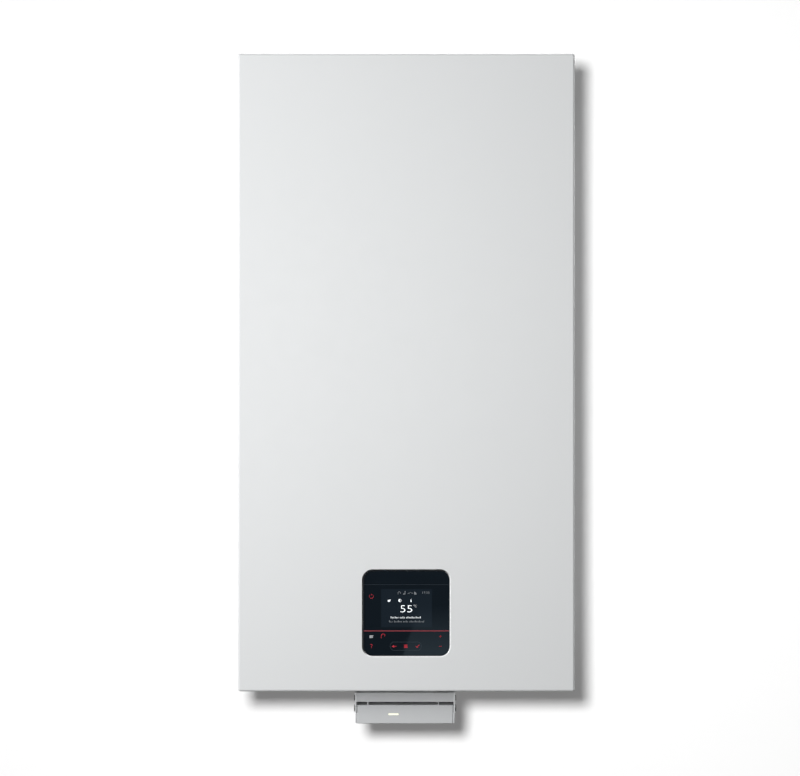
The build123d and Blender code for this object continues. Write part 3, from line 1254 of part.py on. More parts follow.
# ---------------------------------------------------------------- control box
GLASS_HALF_X = GLASS_WIDTH / 2 + GLASS_MARGIN
GLASS_HALF_Z = GLASS_HEIGHT / 2 + GLASS_MARGIN
GLASS_REAR = GLASS_FACE + GLASS_THICK
FRAME_HALF_X, FRAME_HALF_Z = GLASS_HALF_X + 2, GLASS_HALF_Z
LID = 2.5
glass_z = up(GLASS_CENTRE)
with BuildPart() as control_box_housing:
    rounded_block(
        (-BOX_HALF, BOX_FRONT, up(BOX_BOTTOM)), (BOX_HALF, BOX_REAR - LID, up(BOX_TOP)), 5, "Y"
    )
    rounded_block(
        (-FRAME_HALF_X, GLASS_REAR, glass_z - FRAME_HALF_Z),
        (FRAME_HALF_X, BOX_FRONT + 1, glass_z + FRAME_HALF_Z),
        12,
        "Y",
    )
    rounded_block(
        (-BOX_HALF + BOX_WALL, BOX_FRONT + BOX_WALL, up(BOX_BOTTOM + BOX_WALL)),
        (BOX_HALF - BOX_WALL, BOX_REAR, up(BOX_TOP - BOX_WALL)),
        3,
        "Y",
        Mode.SUBTRACT,
    )
    rounded_block(
        (-52, GLASS_REAR - 1, glass_z - 50), (52, BOX_FRONT + 4, glass_z + 50), 4, "Y", Mode.SUBTRACT
    )
    for side in (-1, 1):
        rod(
            HINGE_PIN - FIT,
            (side * (BOX_HALF - 1), HINGE_Y, up(HINGE_Z)),
            (side * (EAR_OUTER + 1.5), HINGE_Y, up(HINGE_Z)),
        )
        for height in (60.0, 180.0):
            rod(4, (side * 150, BOX_FRONT + 2, up(height)), (side * 150, -502, up(height)))
            rod(1.5, (side * 150, -510, up(height)), (side * 150, -501, up(height)), Mode.SUBTRACT)
control_box_housing.part.label = "control_box_housing"
export_step(control_box_housing.part, "parts/control_box_housing.step")

with BuildPart() as control_box_lid:
    rounded_block(
        (-BOX_HALF, BOX_REAR - LID, up(BOX_BOTTOM)), (BOX_HALF, BOX_REAR, up(BOX_TOP)), 5, "Y"
    )
    for row in range(5):
        z = up(BOX_BOTTOM + 30 + row * 9)
        for side in (-1, 1):
            rounded_block(
                (side * 90 - 45, BOX_REAR - 4, z - 1.5), (side * 90 + 45, BOX_REAR + 1, z + 1.5), 1.4, "Y",
                Mode.SUBTRACT,
            )
control_box_lid.part.label = "control_box_lid"
export_step(control_box_lid.part, "parts/control_box_lid.step")

BOARD_FRONT, BOARD_REAR = -502.0, -500.4
with BuildPart() as main_circuit_board:
    block((-160, BOARD_FRONT, up(48)), (160, BOARD_REAR, up(192)))
    for number in range(6):
        x = -140 + number * 24
        rounded_block((x - 10, BOARD_REAR, up(165)), (x + 10, BOARD_REAR + 14, up(185)), 1, "Y")
    for number in range(4):
        x = 30 + number * 24
        block((x - 9, BOARD_REAR, up(160)), (x + 9, BOARD_REAR + 16, up(188)))
    block((-120, BOARD_REAR, up(80)), (-72, BOARD_REAR + 20, up(130)))
    for x, z, radius, tall in ((-40, 110, 11, 20), (-14, 110, 8, 20), (10, 112, 8, 18), (-40, 82, 6, 14)):
        rod(radius, (x, BOARD_REAR, up(z)), (x, BOARD_REAR + tall, up(z)))
    block((50, BOARD_REAR, up(92)), (84, BOARD_REAR + 3, up(126)))
    for number in range(5):
        x = -130 + number * 60
        block((x - 22, BOARD_REAR, up(50)), (x + 22, BOARD_REAR + 10, up(62)))
main_circuit_board.part.label = "main_circuit_board"
export_step(main_circuit_board.part, "parts/main_circuit_board.step")

with BuildPart() as display_glass:
    rounded_block(
        (-GLASS_HALF_X, GLASS_FACE, glass_z - GLASS_HALF_Z),
        (GLASS_HALF_X, GLASS_REAR, glass_z + GLASS_HALF_Z),
        GLASS_RADIUS + GLASS_MARGIN,
        "Y",
    )
display_glass.part.label = "display_glass"
export_step(display_glass.part, "parts/display_glass.step")

with BuildPart() as display_screen:
    block((-50, GLASS_REAR, glass_z - 48), (50, GLASS_REAR + 1.6, glass_z + 48))
    block((-37, GLASS_REAR + 1, glass_z - 23), (37, GLASS_REAR + 4.5, glass_z + 34))
    for number in range(5):
        x = -40 + number * 20
        rod(4, (x, GLASS_REAR + 1, glass_z - 40), (x, GLASS_REAR + 4, glass_z - 40))
display_screen.part.label = "display_screen"
export_step(display_screen.part, "parts/display_screen.step")

# ---------------------------------------------------------------- radio receiver
RECEIVER_WALL = 2.0
RECEIVER_LID = 2.0
BOARD_LEVEL = -43.0
BOARD_TOP = BOARD_LEVEL + 1.6
with BuildPart() as receiver_housing:
    rounded_block(
        (-RECEIVER_HALF, CRADLE_FRONT, up(RECEIVER_BOTTOM)),
        (RECEIVER_HALF, RECEIVER_REAR, up(RECEIVER_TOP - RECEIVER_LID)),
        2.5,
        "Z",
    )
    fillet(edges().group_by(Axis.Z)[0], 1.2)
    rounded_block(
        (-RECEIVER_HALF + 4, CRADLE_FRONT + RECEIVER_WALL, up(RECEIVER_BOTTOM + RECEIVER_WALL)),
        (RECEIVER_HALF - 4, RECEIVER_REAR - RECEIVER_WALL, up(RECEIVER_TOP)),
        1.5,
        "Z",
        Mode.SUBTRACT,
    )
    for side in (-1, 1):
        low, high = sorted((side * (RECEIVER_HALF - GROOVE_DEPTH), side * (RECEIVER_HALF + 1)))
        block((low, CRADLE_FRONT + 4, up(GROOVE_LOW)), (high, RECEIVER_REAR + 1, up(GROOVE_HIGH)), Mode.SUBTRACT)
    block(
        (LIGHT_X - LIGHT_WIDTH / 2, CRADLE_FRONT - 1, up(LIGHT_Z - LIGHT_HEIGHT / 2)),
        (LIGHT_X + LIGHT_WIDTH / 2, CRADLE_FRONT + 3, up(LIGHT_Z + LIGHT_HEIGHT / 2)),
        Mode.SUBTRACT,
    )
    for x in (-50, 50):
        for y in (-500, -425):
            rod(3, (x, y, up(RECEIVER_BOTTOM + 1)), (x, y, up(BOARD_LEVEL)))
receiver_housing.part.move(Location((MODULE_X, 0, 0)))
receiver_housing.part.label = "receiver_housing"
export_step(receiver_housing.part, "parts/receiver_housing.step")

with BuildPart() as receiver_lid:
    rounded_block(
        (-RECEIVER_HALF, CRADLE_FRONT, up(RECEIVER_TOP - RECEIVER_LID)),
        (RECEIVER_HALF, RECEIVER_REAR, up(RECEIVER_TOP)),
        2.5,
        "Z",
    )
    for x in RAIL_PLACES:
        block(
            (x - RAIL_HALF, CRADLE_FRONT + 2, up(RECEIVER_TOP)),
            (x + RAIL_HALF, RECEIVER_REAR - 4, up(-CRADLE_BAND - GAP)),
        )
receiver_lid.part.move(Location((MODULE_X, 0, 0)))
receiver_lid.part.label = "receiver_lid"
export_step(receiver_lid.part, "parts/receiver_lid.step")

with BuildPart() as receiver_board:
    block((-60, -512, up(BOARD_LEVEL)), (60, -412, up(BOARD_TOP)))
    for x, y, wide, deep, tall in (
        (-30, -470, 24, 24, 3), (10, -480, 14, 14, 2), (35, -440, 30, 18, 8), (-20, -430, 40, 10, 9),
    ):
        low = (x - wide / 2, y - deep / 2, up(BOARD_TOP))
        block(low, (x + wide / 2, y + deep / 2, up(BOARD_TOP + tall)))
receiver_board.part.move(Location((MODULE_X, 0, 0)))
receiver_board.part.label = "receiver_board"
export_step(receiver_board.part, "parts/receiver_board.step")

with BuildPart() as receiver_light:
    block(
        (LIGHT_X - LIGHT_WIDTH / 2, CRADLE_FRONT - 0.3, up(LIGHT_Z - LIGHT_HEIGHT / 2)),
        (LIGHT_X + LIGHT_WIDTH / 2, CRADLE_FRONT + 6, up(LIGHT_Z + LIGHT_HEIGHT / 2)),
    )
receiver_light.part.move(Location((MODULE_X, 0, 0)))
receiver_light.part.label = "receiver_light"
export_step(receiver_light.part, "parts/receiver_light.step")
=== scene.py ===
import json
import math

import bmesh
import bpy
from mathutils import Matrix, Vector


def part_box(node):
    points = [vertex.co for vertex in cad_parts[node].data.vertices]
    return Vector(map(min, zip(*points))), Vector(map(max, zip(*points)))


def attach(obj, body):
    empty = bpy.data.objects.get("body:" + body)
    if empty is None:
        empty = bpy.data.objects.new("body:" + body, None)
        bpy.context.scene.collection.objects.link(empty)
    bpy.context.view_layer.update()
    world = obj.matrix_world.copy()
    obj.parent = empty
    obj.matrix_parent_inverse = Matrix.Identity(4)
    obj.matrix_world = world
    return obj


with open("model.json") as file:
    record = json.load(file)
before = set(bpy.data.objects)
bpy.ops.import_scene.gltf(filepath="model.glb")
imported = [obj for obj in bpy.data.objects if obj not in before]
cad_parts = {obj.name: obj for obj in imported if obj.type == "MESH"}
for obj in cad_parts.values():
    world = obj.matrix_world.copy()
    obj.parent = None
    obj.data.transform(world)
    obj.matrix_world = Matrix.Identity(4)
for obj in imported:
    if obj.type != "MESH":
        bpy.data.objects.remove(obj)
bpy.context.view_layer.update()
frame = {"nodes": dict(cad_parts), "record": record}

bl_info = {
    "name": "Combi boiler",
    "version": (1, 0, 0),
    "blender": (4, 5, 0),
    "location": "View3D > Sidebar > Boiler",
    "description": "Finishes, display, fittings and studio for a wall-hung combi boiler",
    "category": "Object",
}

MM = 0.001
GLASS_LOW, GLASS_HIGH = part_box("display_glass")
COVER_LOW, COVER_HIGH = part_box("front_cover")
GLASS_X = (GLASS_LOW[0] + GLASS_HIGH[0]) / 2
GLASS_Z = (GLASS_LOW[2] + GLASS_HIGH[2]) / 2
GLASS_Y = GLASS_LOW[1]
BASE = COVER_LOW[2]  # the casing's bottom edge

# camera and key lamp, in metres from the middle line, the bottom edge and the middle of the cover
CAMERA_X, CAMERA_RISE = -0.0088, 0.4235
KEY_ACROSS, KEY_RISE, KEY_DISTANCE = -0.132, 0.096, 3.36
STUDIO_DEPTH = 5.0  # from the cover to the dark studio behind the camera
FLOOR_DROP, FLOOR_LEVEL, FLOOR_GLOW = 1.05, 0.9, 0.42  # metres below the cover, and the floor's brightness
WALL_GAP = 0.0006
EMISSION, BACKGROUND = "ShaderNodeEmission", "ShaderNodeBackground"
WHITE, MIRRORED, PLAIN, BLACK = ((shade,) * 3 for shade in (1.0, 0.9, 0.78, 0.03))

# the printed layout's middle and scale, and the window round the glass, in millimetres
MARK_X, MARK_Z, MARK_SCALE = GLASS_X - 0.7 * MM, GLASS_Z + 0.9 * MM, 0.984
GLASS_HIDDEN = 2.0
WINDOW_BEVEL, WINDOW_DEPTH, MOUTH_RADIUS, CORNER_STEPS = 2.6, 2.0, 15.0, 10
SEAL_RIGHT, SEAL_BELOW, SEAL_THICK = 0.65, 1.2, 1.0
BAR_PITCH, BAR_GAP, BAR_WIDTH, BAR_LOW, BAR_HIGH = 1.95, 1.25, 0.95, 1.7, 2.6

ACROSS, DEEP, UP, FRONT = (1, 0, 0), (0, 1, 0), (0, 0, 1), (0, -1, 0)
# what carries the fittings, in millimetres: middles across and in height, circles, and depths of faces
EXCHANGER, NUT_CIRCLE, NUT_COUNT = (-135.0, 650.0), 88.0, 8
FAN, FAN_SCREW_CIRCLE = (-87.0, 510.0), 67.5
FLUE_Y, TEST_POINT_CIRCLE = -300.0, 56.5
DOOR_FLANGE, FAN_FACE, VALVE_FACE, PUMP_FACE, DIVERTER_FACE = -424.0, -496.0, -450.0, -450.0, -430.0
PUMP = (-106.27, PUMP_FACE, 170.0)
FLANGE_SCREW_X, FLANGE_SCREW_FACE, FLANGE_SCREWS = 219.4, -545.82, (60.0, 445.0, 825.0)
UNION_FACE, UNIONS = -343.0, ((98.0, 320.0), (54.0, 180.0))
BULKHEAD = -247.2
DUCT = (-206, -486, 44)

# angles of the screws on the fan's rim
FAN_SCREWS = (20, 60, 150, 200, 245, 290, 335)
# screws of the gas valve, pump motor and diverter motor: across, heights, face and head's radius
HOUSING_SCREWS = (
    ((-110, -64), (392, 463), VALVE_FACE, 2.6),
    ((-142, -70.5), (134.5, 205.5), PUMP_FACE, 3.0),
    ((149, 191), (144, 196), DIVERTER_FACE, 2.2),
)
# clamped pipes: across, depth, height, the pipe's radius and whether it stands upright
PIPE_CLAMPS = (
    (-106.27, -385, 440, 9.0, True), (170, -346, 300, 9.0, True), (98, -372, 240, 7.5, True),
    (-50, -275, 180, 9.0, True), (-163.73, -346, 425, 9.0, True), (40, -346, 400, 9.0, False),
)
# strapped vessels: across, depth, radius and the heights of the straps
VESSEL_STRAPS = ((136, -346, 90.0, (520, 770)), (-172, -410, 48.0, (305, 395)))
# pipes with a sensor: across, depth, height and radius
SENSORS = ((-163.73, -385, 515, 6.5), (-106.27, -330, 268, 9.0), (98, -372, 290, 7.5))
TWO_WIRES = (-1.2, 1.2)
# cable ties: heights on the upright bundle, and places across on the level one
UPRIGHT_TIES, LEVEL_TIES = (130, 215, 300, 385), (-150, -60, 30, 100)
# leads: name, slot, radius and routes, whose points are across, in depth and in height
LEADS = (
    ("igniter_lead", "black_plastic", 2.6, [[
        (-88.3, -463, 696.7), (-92, -480, 712), (-120, -492, 748), (-170, -490, 752), (-210, -489, 715),
        (-227, -488, 650), (-227.5, -489, 540), (-227.5, -490, 400), (-227.5, -490, 240), (-226, -490, 110),
        (-225, -489, 58),
    ]]),
    ("flow_sensor_leads", "white_plastic", 1.1, [[
        (-163.7 + shift, -398, 510), (-163 + shift, -405, 498), (-185, -440, 478 - shift),
        (-214, -482, 462 - shift), (-219, -487 + shift, 420), (-219, -487 + shift, 240),
        (-217, -487 + shift, 58),
    ] for shift in TWO_WIRES]),
    ("return_sensor_leads", "grey_plastic", 1.1, [[
        (-106.3 + shift, -344, 263), (-110 + shift, -356, 250), (-150, -432, 236 - shift),
        (-204, -474, 228 - shift), (-216, -489.5 + shift, 200), (-215, -489 + shift, 120),
        (-214, -488 + shift, 58),
    ] for shift in TWO_WIRES]),
    ("hot_water_sensor_leads", "white_plastic", 1.1, [[
        (98 + shift, -384, 285), (100 + shift, -392, 270), (112, -420, 200), (110, -450, 110),
        (104, -460, 52), (80, -461 + shift, 40), (0, -461 + shift, 39), (-120, -461 + shift, 39),
        (-180, -470, 41), DUCT,
    ] for shift in TWO_WIRES]),
    ("diverter_lead", "black_plastic", 2.0, [[
        (170, -441, 149), (170, -447, 128), (164, -457, 80), (148, -461, 46), (110, -460.5, 37.5),
        (0, -460.5, 37), (-120, -460.5, 37), (-180, -472, 40), DUCT,
    ]]),
    ("charging_pump_lead", "black_plastic", 2.0, [[
        (29, -407, 128), (29, -416, 112), (28, -440, 80), (20, -458, 48), (0, -462, 40.5),
        (-60, -462.5, 40.5), (-120, -462.5, 40.5), (-180, -474, 42), DUCT,
    ]]),
)


# ---- settings
def sidebar(kind=bpy.props.FloatProperty, **fixed):
    """A function that gives the sidebar's settings of one kind."""
    def make(name, description, default):
        return kind(name=name, description=description, default=default, **fixed)
    return make


length = sidebar(unit="LENGTH", precision=4)
power = sidebar(unit="POWER")
number = sidebar(min=0.0, max=1000.0)
fraction = sidebar(min=0.0, max=1.0)
colour = sidebar(bpy.props.FloatVectorProperty, subtype="COLOR", size=3, min=0.0, max=2.0)


class CasingSettings(bpy.types.PropertyGroup):
    """Finish of the white casing"""

    enamel: colour("Enamel", "Colour of the powder-coated sheet", (0.80, 0.815, 0.82))
    roughness: fraction("Roughness", "Roughness of the powder coat", 0.447)
    peel: fraction("Orange peel", "Strength of the coat's fine ripple", 0.05)
    receiver: colour("Receiver", "Grey of the radio receiver and its cradle", (0.655, 0.67, 0.68))


class DisplaySettings(bpy.types.PropertyGroup):
    """Glass and printed marks of the display"""

    glass: colour("Glass", "Colour behind the display glass", (0.0030, 0.0072, 0.0120))
    field: colour("Lit field", "Colour of the screen's lit field", (0.0070, 0.0127, 0.0198))
    red: colour("Key red", "Red of the touch keys", (0.52, 0.030, 0.045))
    white: colour("Readout white", "White of the readout", (0.86, 0.90, 0.92))
    grey: colour("Mark grey", "Grey of the small marks", (0.16, 0.17, 0.18))
    digit_height: length("Digit height", "Height of the big digits", 0.0108)
    line_width: length("Red line", "Height of the red line across the glass", 0.0015)


class StageSettings(bpy.types.PropertyGroup):
    """Studio round the boiler"""

    key_power: power("Key lamp", "Power of the key lamp", 44.5)
    side_power: power("Side lamp", "Power of the left lamp", 39.5)
    wall_power: power("Wall lamp", "Power on the wall alone", 365.0)
    rear_power: power("Rear lamps", "Power of each rear lamp", 45.0)
    right_power: power("Right lamp", "Power of the right lamp", 52.0)
    world_level: number("World", "Level of the even light", 0.04)
    wall: number("Wall", "Brightness of the wall as the camera sees it", 0.36)
    wall_glow: number("Wall glow", "Light that the wall gives off in the shadow", 0.19)
    key_size: length("Key size", "Width of the key lamp", 0.165)
    camera_distance: length("Camera distance", "From the cover to the camera", 3.5)
    lens: number("Lens", "Focal length in millimetres", 112.9)


# ---- shader maths
class Wire:
    """A node's output that takes part in Python arithmetic."""

    def __init__(self, recipe, socket):
        self.recipe = recipe
        self.socket = socket

    def maths(self, operation, *values):
        """A Math node on values and wires."""
        return self.recipe.add("ShaderNodeMath", {"operation": operation}, dict(enumerate(values)))

    def __add__(self, other):
        return self.maths("ADD", self, other)

    def __radd__(self, other):
        return self.maths("ADD", other, self)

    def __sub__(self, other):
        return self.maths("SUBTRACT", self, other)

    def __rsub__(self, other):
        return self.maths("SUBTRACT", other, self)

    def __mul__(self, other):
        return self.maths("MULTIPLY", self, other)

    def __rmul__(self, other):
        return self.maths("MULTIPLY", other, self)


class Recipe:
    """The nodes of one material or of the world."""

    def __init__(self, holder):
        holder.use_nodes = True
        self.tree = holder.node_tree
        self.tree.nodes.clear()

    def add(self, kind, settings=None, sockets=None, outlet=0):
        """One node: its settings first, then the values or wires of its sockets."""
        node = self.tree.nodes.new(kind)
        for key, value in (settings or {}).items():
            setattr(node, key, value)
        for key, value in (sockets or {}).items():
            if isinstance(value, Wire):
                self.tree.links.new(value.socket, node.inputs[key])
            else:
                node.inputs[key].default_value = value
        return Wire(self, node.outputs[outlet])

    def place(self, scale=(1, 1, 1)):
        """Object coordinates, stretched."""
        here = self.add("ShaderNodeTexCoord", outlet="Object")
        return self.add("ShaderNodeMapping", {}, {"Vector": here, "Scale": scale})

    def noise(self, scale, detail=2.0, stretch=(1, 1, 1), distortion=0.0):
        """Soft random values from 0 to 1."""
        sockets = {"Vector": self.place(stretch), "Scale": scale, "Detail": detail, "Distortion": distortion}
        return self.add("ShaderNodeTexNoise", {}, sockets)

    def cells(self, scale, feature="F1", outlet="Distance", stretch=(1, 1, 1)):
        """Random cells."""
        sockets = {"Vector": self.place(stretch), "Scale": scale}
        return self.add("ShaderNodeTexVoronoi", {"feature": feature}, sockets, outlet)

    def blend(self, amount, first, second):
        """A colour between two colours."""
        sockets = {"Factor": amount, 6: (*first, 1.0), 7: (*second, 1.0)}
        return self.add("ShaderNodeMix", {"data_type": "RGBA"}, sockets, 2)

    def spread(self, value, low, high):
        """A value from 0 to 1 laid between two others."""
        return value * (high - low) + low

    def rise(self, value, low, high):
        """0 up to one value, 1 from another, and even between them."""
        return self.add("ShaderNodeMapRange", {}, {"Value": value, 1: low, 2: high})

    def ripple(self, height, strength, depth):
        """A normal from a height field."""
        return self.add("ShaderNodeBump", {}, {"Height": height, "Strength": strength, "Distance": depth})

    def light(self, kind, tint, strength):
        """Light of a surface or of the world."""
        return self.add(kind, {}, {"Color": (*tint, 1.0), "Strength": strength})

    def either(self, share, first, second):
        """One shader where the share is 0 and another where it is 1."""
        return self.add("ShaderNodeMixShader", {}, {0: share, 1: first, 2: second})

    def rays(self):
        """Whether the camera sees it, and whether a mirror or clear glass does."""
        camera, mirror, glass = (self.add("ShaderNodeLightPath", outlet=key) for key in (
            "Is Camera Ray", "Is Glossy Ray", "Is Transmission Ray"))
        return camera, mirror.maths("MAXIMUM", mirror, glass)

    def surface(self, **sockets):
        """The Principled shader, joined to the output."""
        names = {key.replace("_", " "): value for key, value in sockets.items()}
        self.close(self.add("ShaderNodeBsdfPrincipled", {}, names))

    def close(self, shader, kind="ShaderNodeOutputMaterial"):
        """Joins a shader to the output."""
        node = self.tree.nodes.new(kind)
        self.tree.links.new(shader.socket, node.inputs["Surface"])


def darker(tint, share):
    """A colour at a share of its brightness."""
    return tuple(channel * share for channel in tint)


def material(name):
    """A new material and its recipe."""
    made = bpy.data.materials.new(name)
    return made, Recipe(made)


# ---- finishes
def finish(recipe):
    """Makes a recipe into a function that gives a new material of a name."""
    def make(name, *values):
        made, mix = material(name)
        recipe(mix, *values)
        return made
    return make


@finish
def enamel(mix, tint, rough, peel):
    """Powder-coated or stove-enamelled sheet."""
    mix.surface(
        Base_Color=mix.blend(mix.noise(2.2, 3.0), tint, darker(tint, 0.985)),
        Roughness=mix.spread(mix.noise(60.0, 3.0), rough - 0.03, rough + 0.05),
        Normal=mix.ripple(mix.noise(900.0), peel, 0.0004),
    )


@finish
def zinc_sheet(mix, tint):
    """Hot-dipped sheet with its flower pattern."""
    flower = mix.add("ShaderNodeSeparateColor", {}, {"Color": mix.cells(140.0, outlet="Color")})
    fine = mix.noise(700.0, 2.0)
    mix.surface(
        Base_Color=mix.blend(flower, darker(tint, 0.86), tint),
        Roughness=mix.spread(flower * 0.6 + fine * 0.4, 0.42, 0.62),
        Metallic=1.0,
        Normal=mix.ripple(fine, 0.05, 0.0003),
    )


@finish
def brushed(mix, tint, rough, stretch=(8, 8, 160)):
    """Rolled or spun steel with fine scratches along it."""
    streak = mix.noise(9.0, 6.0, stretch)
    mix.surface(
        Base_Color=mix.blend(mix.noise(14.0), darker(tint, 0.86), tint),
        Roughness=mix.spread(streak, rough - 0.06, rough + 0.16),
        Metallic=1.0,
        Normal=mix.ripple(streak, 0.12, 0.0002),
    )


@finish
def cast_metal(mix, tint, rough, metal=1.0, scale=420.0):
    """Sand- or die-cast metal with a fine grain."""
    grain = mix.noise(scale, 4.0)
    mix.surface(
        Base_Color=mix.blend(mix.noise(30.0, 3.0), darker(tint, 0.78), tint),
        Roughness=mix.spread(grain, rough - 0.1, rough + 0.14),
        Metallic=metal,
        Normal=mix.ripple(grain, 0.35, 0.0006),
    )


@finish
def plastic(mix, tint, rough, grain=0.12):
    """Moulded plastic with a spark-eroded grain."""
    dots = mix.cells(1500.0)
    mix.surface(
        Base_Color=mix.blend(mix.noise(18.0), darker(tint, 0.93), tint),
        Roughness=mix.spread(dots, rough - 0.04, rough + 0.08),
        Normal=mix.ripple(dots, grain, 0.0003),
    )


@finish
def rubber(mix, tint):
    """Soft black rubber with a bloom of dust."""
    dust = mix.noise(120.0, 4.0)
    mix.surface(
        Base_Color=mix.blend(dust, tint, (0.06, 0.06, 0.058)),
        Roughness=mix.spread(dust, 0.62, 0.86),
        Normal=mix.ripple(mix.noise(1300.0), 0.15, 0.0003),
    )


@finish
def bead_foam(mix, tint):
    """Expanded foam of fused beads."""
    bead = mix.cells(260.0)
    seam = mix.cells(260.0, "DISTANCE_TO_EDGE")
    mix.surface(
        Base_Color=mix.blend(mix.rise(seam, 0.0, 0.06), darker(tint, 0.55), tint),
        Roughness=mix.spread(bead, 0.55, 0.85),
        Normal=mix.ripple(1 - bead, 0.5, 0.0012),
    )


@finish
def fibre_board(mix, tint, shade, scale=60.0):
    """Pressed mineral fibre or mat."""
    strand = mix.noise(scale, 8.0, (1, 6, 1), 1.5)
    across = mix.noise(scale, 8.0, (5, 1, 6), 1.5)
    both = strand * 0.5 + across * 0.5
    mix.surface(
        Base_Color=mix.blend(mix.rise(both, 0.35, 0.65), shade, tint),
        Roughness=0.92,
        Normal=mix.ripple(both, 0.8, 0.002),
        Sheen_Weight=0.2,
    )


@finish
def tarnished(mix, bright, dull, rough=0.26):
    """Copper or brass that has begun to darken."""
    patch = mix.noise(26.0, 6.0, (1, 1, 1), 0.6)
    aged = mix.rise(patch, 0.42, 0.68)
    drawn = mix.noise(240.0, 3.0)
    mix.surface(
        Base_Color=mix.blend(aged, bright, dull),
        Roughness=mix.spread(aged, rough, rough + 0.2) + drawn * 0.06,
        Metallic=1.0,
        Normal=mix.ripple(drawn, 0.06, 0.0003),
    )


@finish
def board(mix, tint):
    """A lacquered circuit board with its copper tracks showing through."""
    track = mix.cells(170.0, "DISTANCE_TO_EDGE", stretch=(1, 0.3, 1.6))
    lines = mix.rise(track, 0.04, 0.07)
    mix.surface(
        Base_Color=mix.blend(lines, (0.10, 0.30, 0.12), tint),
        Roughness=mix.spread(lines, 0.22, 0.36),
        Normal=mix.ripple(lines, 0.25, 0.0003),
    )


@finish
def dark_glass(mix, tint):
    """Polished glass printed black behind, with faint fingertip smears."""
    smear = mix.noise(70.0, 5.0, (1, 1, 2.5), 1.2)
    worn = mix.rise(smear, 0.45, 0.8)
    mix.surface(
        Base_Color=mix.blend(worn, tint, darker(tint, 1.12)),
        Roughness=mix.spread(worn, 0.012, 0.05),
    )


@finish
def glazed(mix, tint):
    """Fired ceramic with a glaze."""
    mix.surface(
        Base_Color=mix.blend(mix.noise(90.0, 4.0), tint, darker(tint, 0.9)),
        Roughness=0.16,
        Coat_Weight=0.6,
        Coat_Roughness=0.05,
    )


@finish
def ink(mix, tint, glow, rough=0.12):
    """A printed or lit mark behind the glass."""
    mix.surface(
        Base_Color=mix.blend(mix.noise(1800.0), darker(tint, 0.94), tint),
        Roughness=rough,
        Emission_Color=(*tint, 1.0),
        Emission_Strength=glow,
    )


FINISH_NAMES = {}  # materials' names by slot, once the finishes are made


def finishes():
    """Every material by the record's slot name."""
    casing = bpy.context.scene.boiler_casing
    display = bpy.context.scene.boiler_display
    return {
        "white_enamel": enamel("white_enamel", casing.enamel, casing.roughness, casing.peel),
        "galvanised": zinc_sheet("galvanised_sheet", (0.40, 0.415, 0.43)),
        "stainless": brushed("stainless_steel", (0.46, 0.455, 0.44), 0.52),
        "zinc_screws": brushed("zinc_screw", (0.40, 0.405, 0.41), 0.42, (60, 60, 60)),
        "black_rubber": rubber("black_rubber", (0.022, 0.022, 0.023)),
        "grey_foam": bead_foam("tank_foam", (0.20, 0.205, 0.21)),
        "mineral_mat": fibre_board("cover_mat", (0.30, 0.30, 0.29), (0.17, 0.17, 0.165)),
        "fibre": fibre_board("door_fibre", (0.82, 0.79, 0.72), (0.62, 0.58, 0.50), 90.0),
        "cast_aluminium": cast_metal("cast_aluminium", (0.43, 0.44, 0.45), 0.52),
        "ceramic": glazed("glazed_ceramic", (0.86, 0.84, 0.79)),
        "red_enamel": enamel("red_enamel", (0.46, 0.028, 0.018), 0.30, 0.08),
        "blue_enamel": enamel("blue_enamel", (0.035, 0.12, 0.30), 0.32, 0.08),
        "copper": tarnished("drawn_copper", (0.93, 0.50, 0.36), (0.50, 0.24, 0.15)),
        "yellow_brass": tarnished("cast_brass", (0.72, 0.54, 0.26), (0.50, 0.35, 0.15), 0.40),
        "dark_iron": cast_metal("painted_iron", (0.055, 0.06, 0.065), 0.55, 0.0, 300.0),
        "black_plastic": plastic("black_plastic", (0.022, 0.023, 0.025), 0.46),
        "grey_plastic": plastic("grey_plastic", (0.34, 0.35, 0.36), 0.42),
        "white_plastic": plastic("white_plastic", (0.72, 0.73, 0.72), 0.4),
        "red_plastic": plastic("red_plastic", (0.50, 0.020, 0.016), 0.3, 0.05),
        "receiver_plastic": plastic("receiver_plastic", casing.receiver, 0.5, 0.1),
        "black_glass": dark_glass("display_glass_black", display.glass),
        "screen": plastic("screen_module", (0.03, 0.035, 0.045), 0.2, 0.02),
        "circuit_board": board("circuit_board_green", (0.012, 0.11, 0.042)),
        "light_lens": ink("receiver_light_lens", (0.92, 0.92, 0.74), 0.55, 0.35),
    }


# ---- mesh helpers
def linked(name, data):
    """A new object in the scene."""
    made = bpy.data.objects.new(name, data)
    bpy.context.scene.collection.objects.link(made)
    return made


def as_object(name, shape, tone):
    """Turns a bmesh into an object of the scene."""
    mesh = bpy.data.meshes.new(name)
    shape.to_mesh(mesh)
    shape.free()
    mesh.materials.append(tone)
    return linked(name, mesh)


def keep(name, shape, body, tone, smooth=False):
    """Turns a bmesh into a piece that rides on a body."""
    piece = as_object(name, shape, tone)
    piece.data.polygons.foreach_set("use_smooth", [smooth] * len(piece.data.polygons))
    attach(piece, body)
    return piece


def add_curve(shape, curve, place):
    """Adds the mesh of a curve or of figures to a shape."""
    holder = linked("curve", curve)
    mesh = bpy.data.meshes.new_from_object(holder)
    mesh.transform(place)
    shape.from_mesh(mesh)
    bpy.data.objects.remove(holder)
    bpy.data.meshes.remove(mesh)


def thicken(shape, thick):
    """Gives a flat drawing its thickness."""
    grown = bmesh.ops.extrude_face_region(shape, geom=shape.faces[:], use_keep_orig=True)
    top = [part for part in grown["geom"] if isinstance(part, bmesh.types.BMVert)]
    bmesh.ops.translate(shape, verts=top, vec=(0, 0, thick))


def face_front(shape, middle, scale=MM):
    """Stands a drawing up at a place, in metres, so that it faces the front."""
    place = Matrix.Translation(middle) @ Matrix.Rotation(math.radians(90), 4, "X") @ Matrix.Scale(scale, 4)
    bmesh.ops.transform(shape, matrix=place, verts=shape.verts)


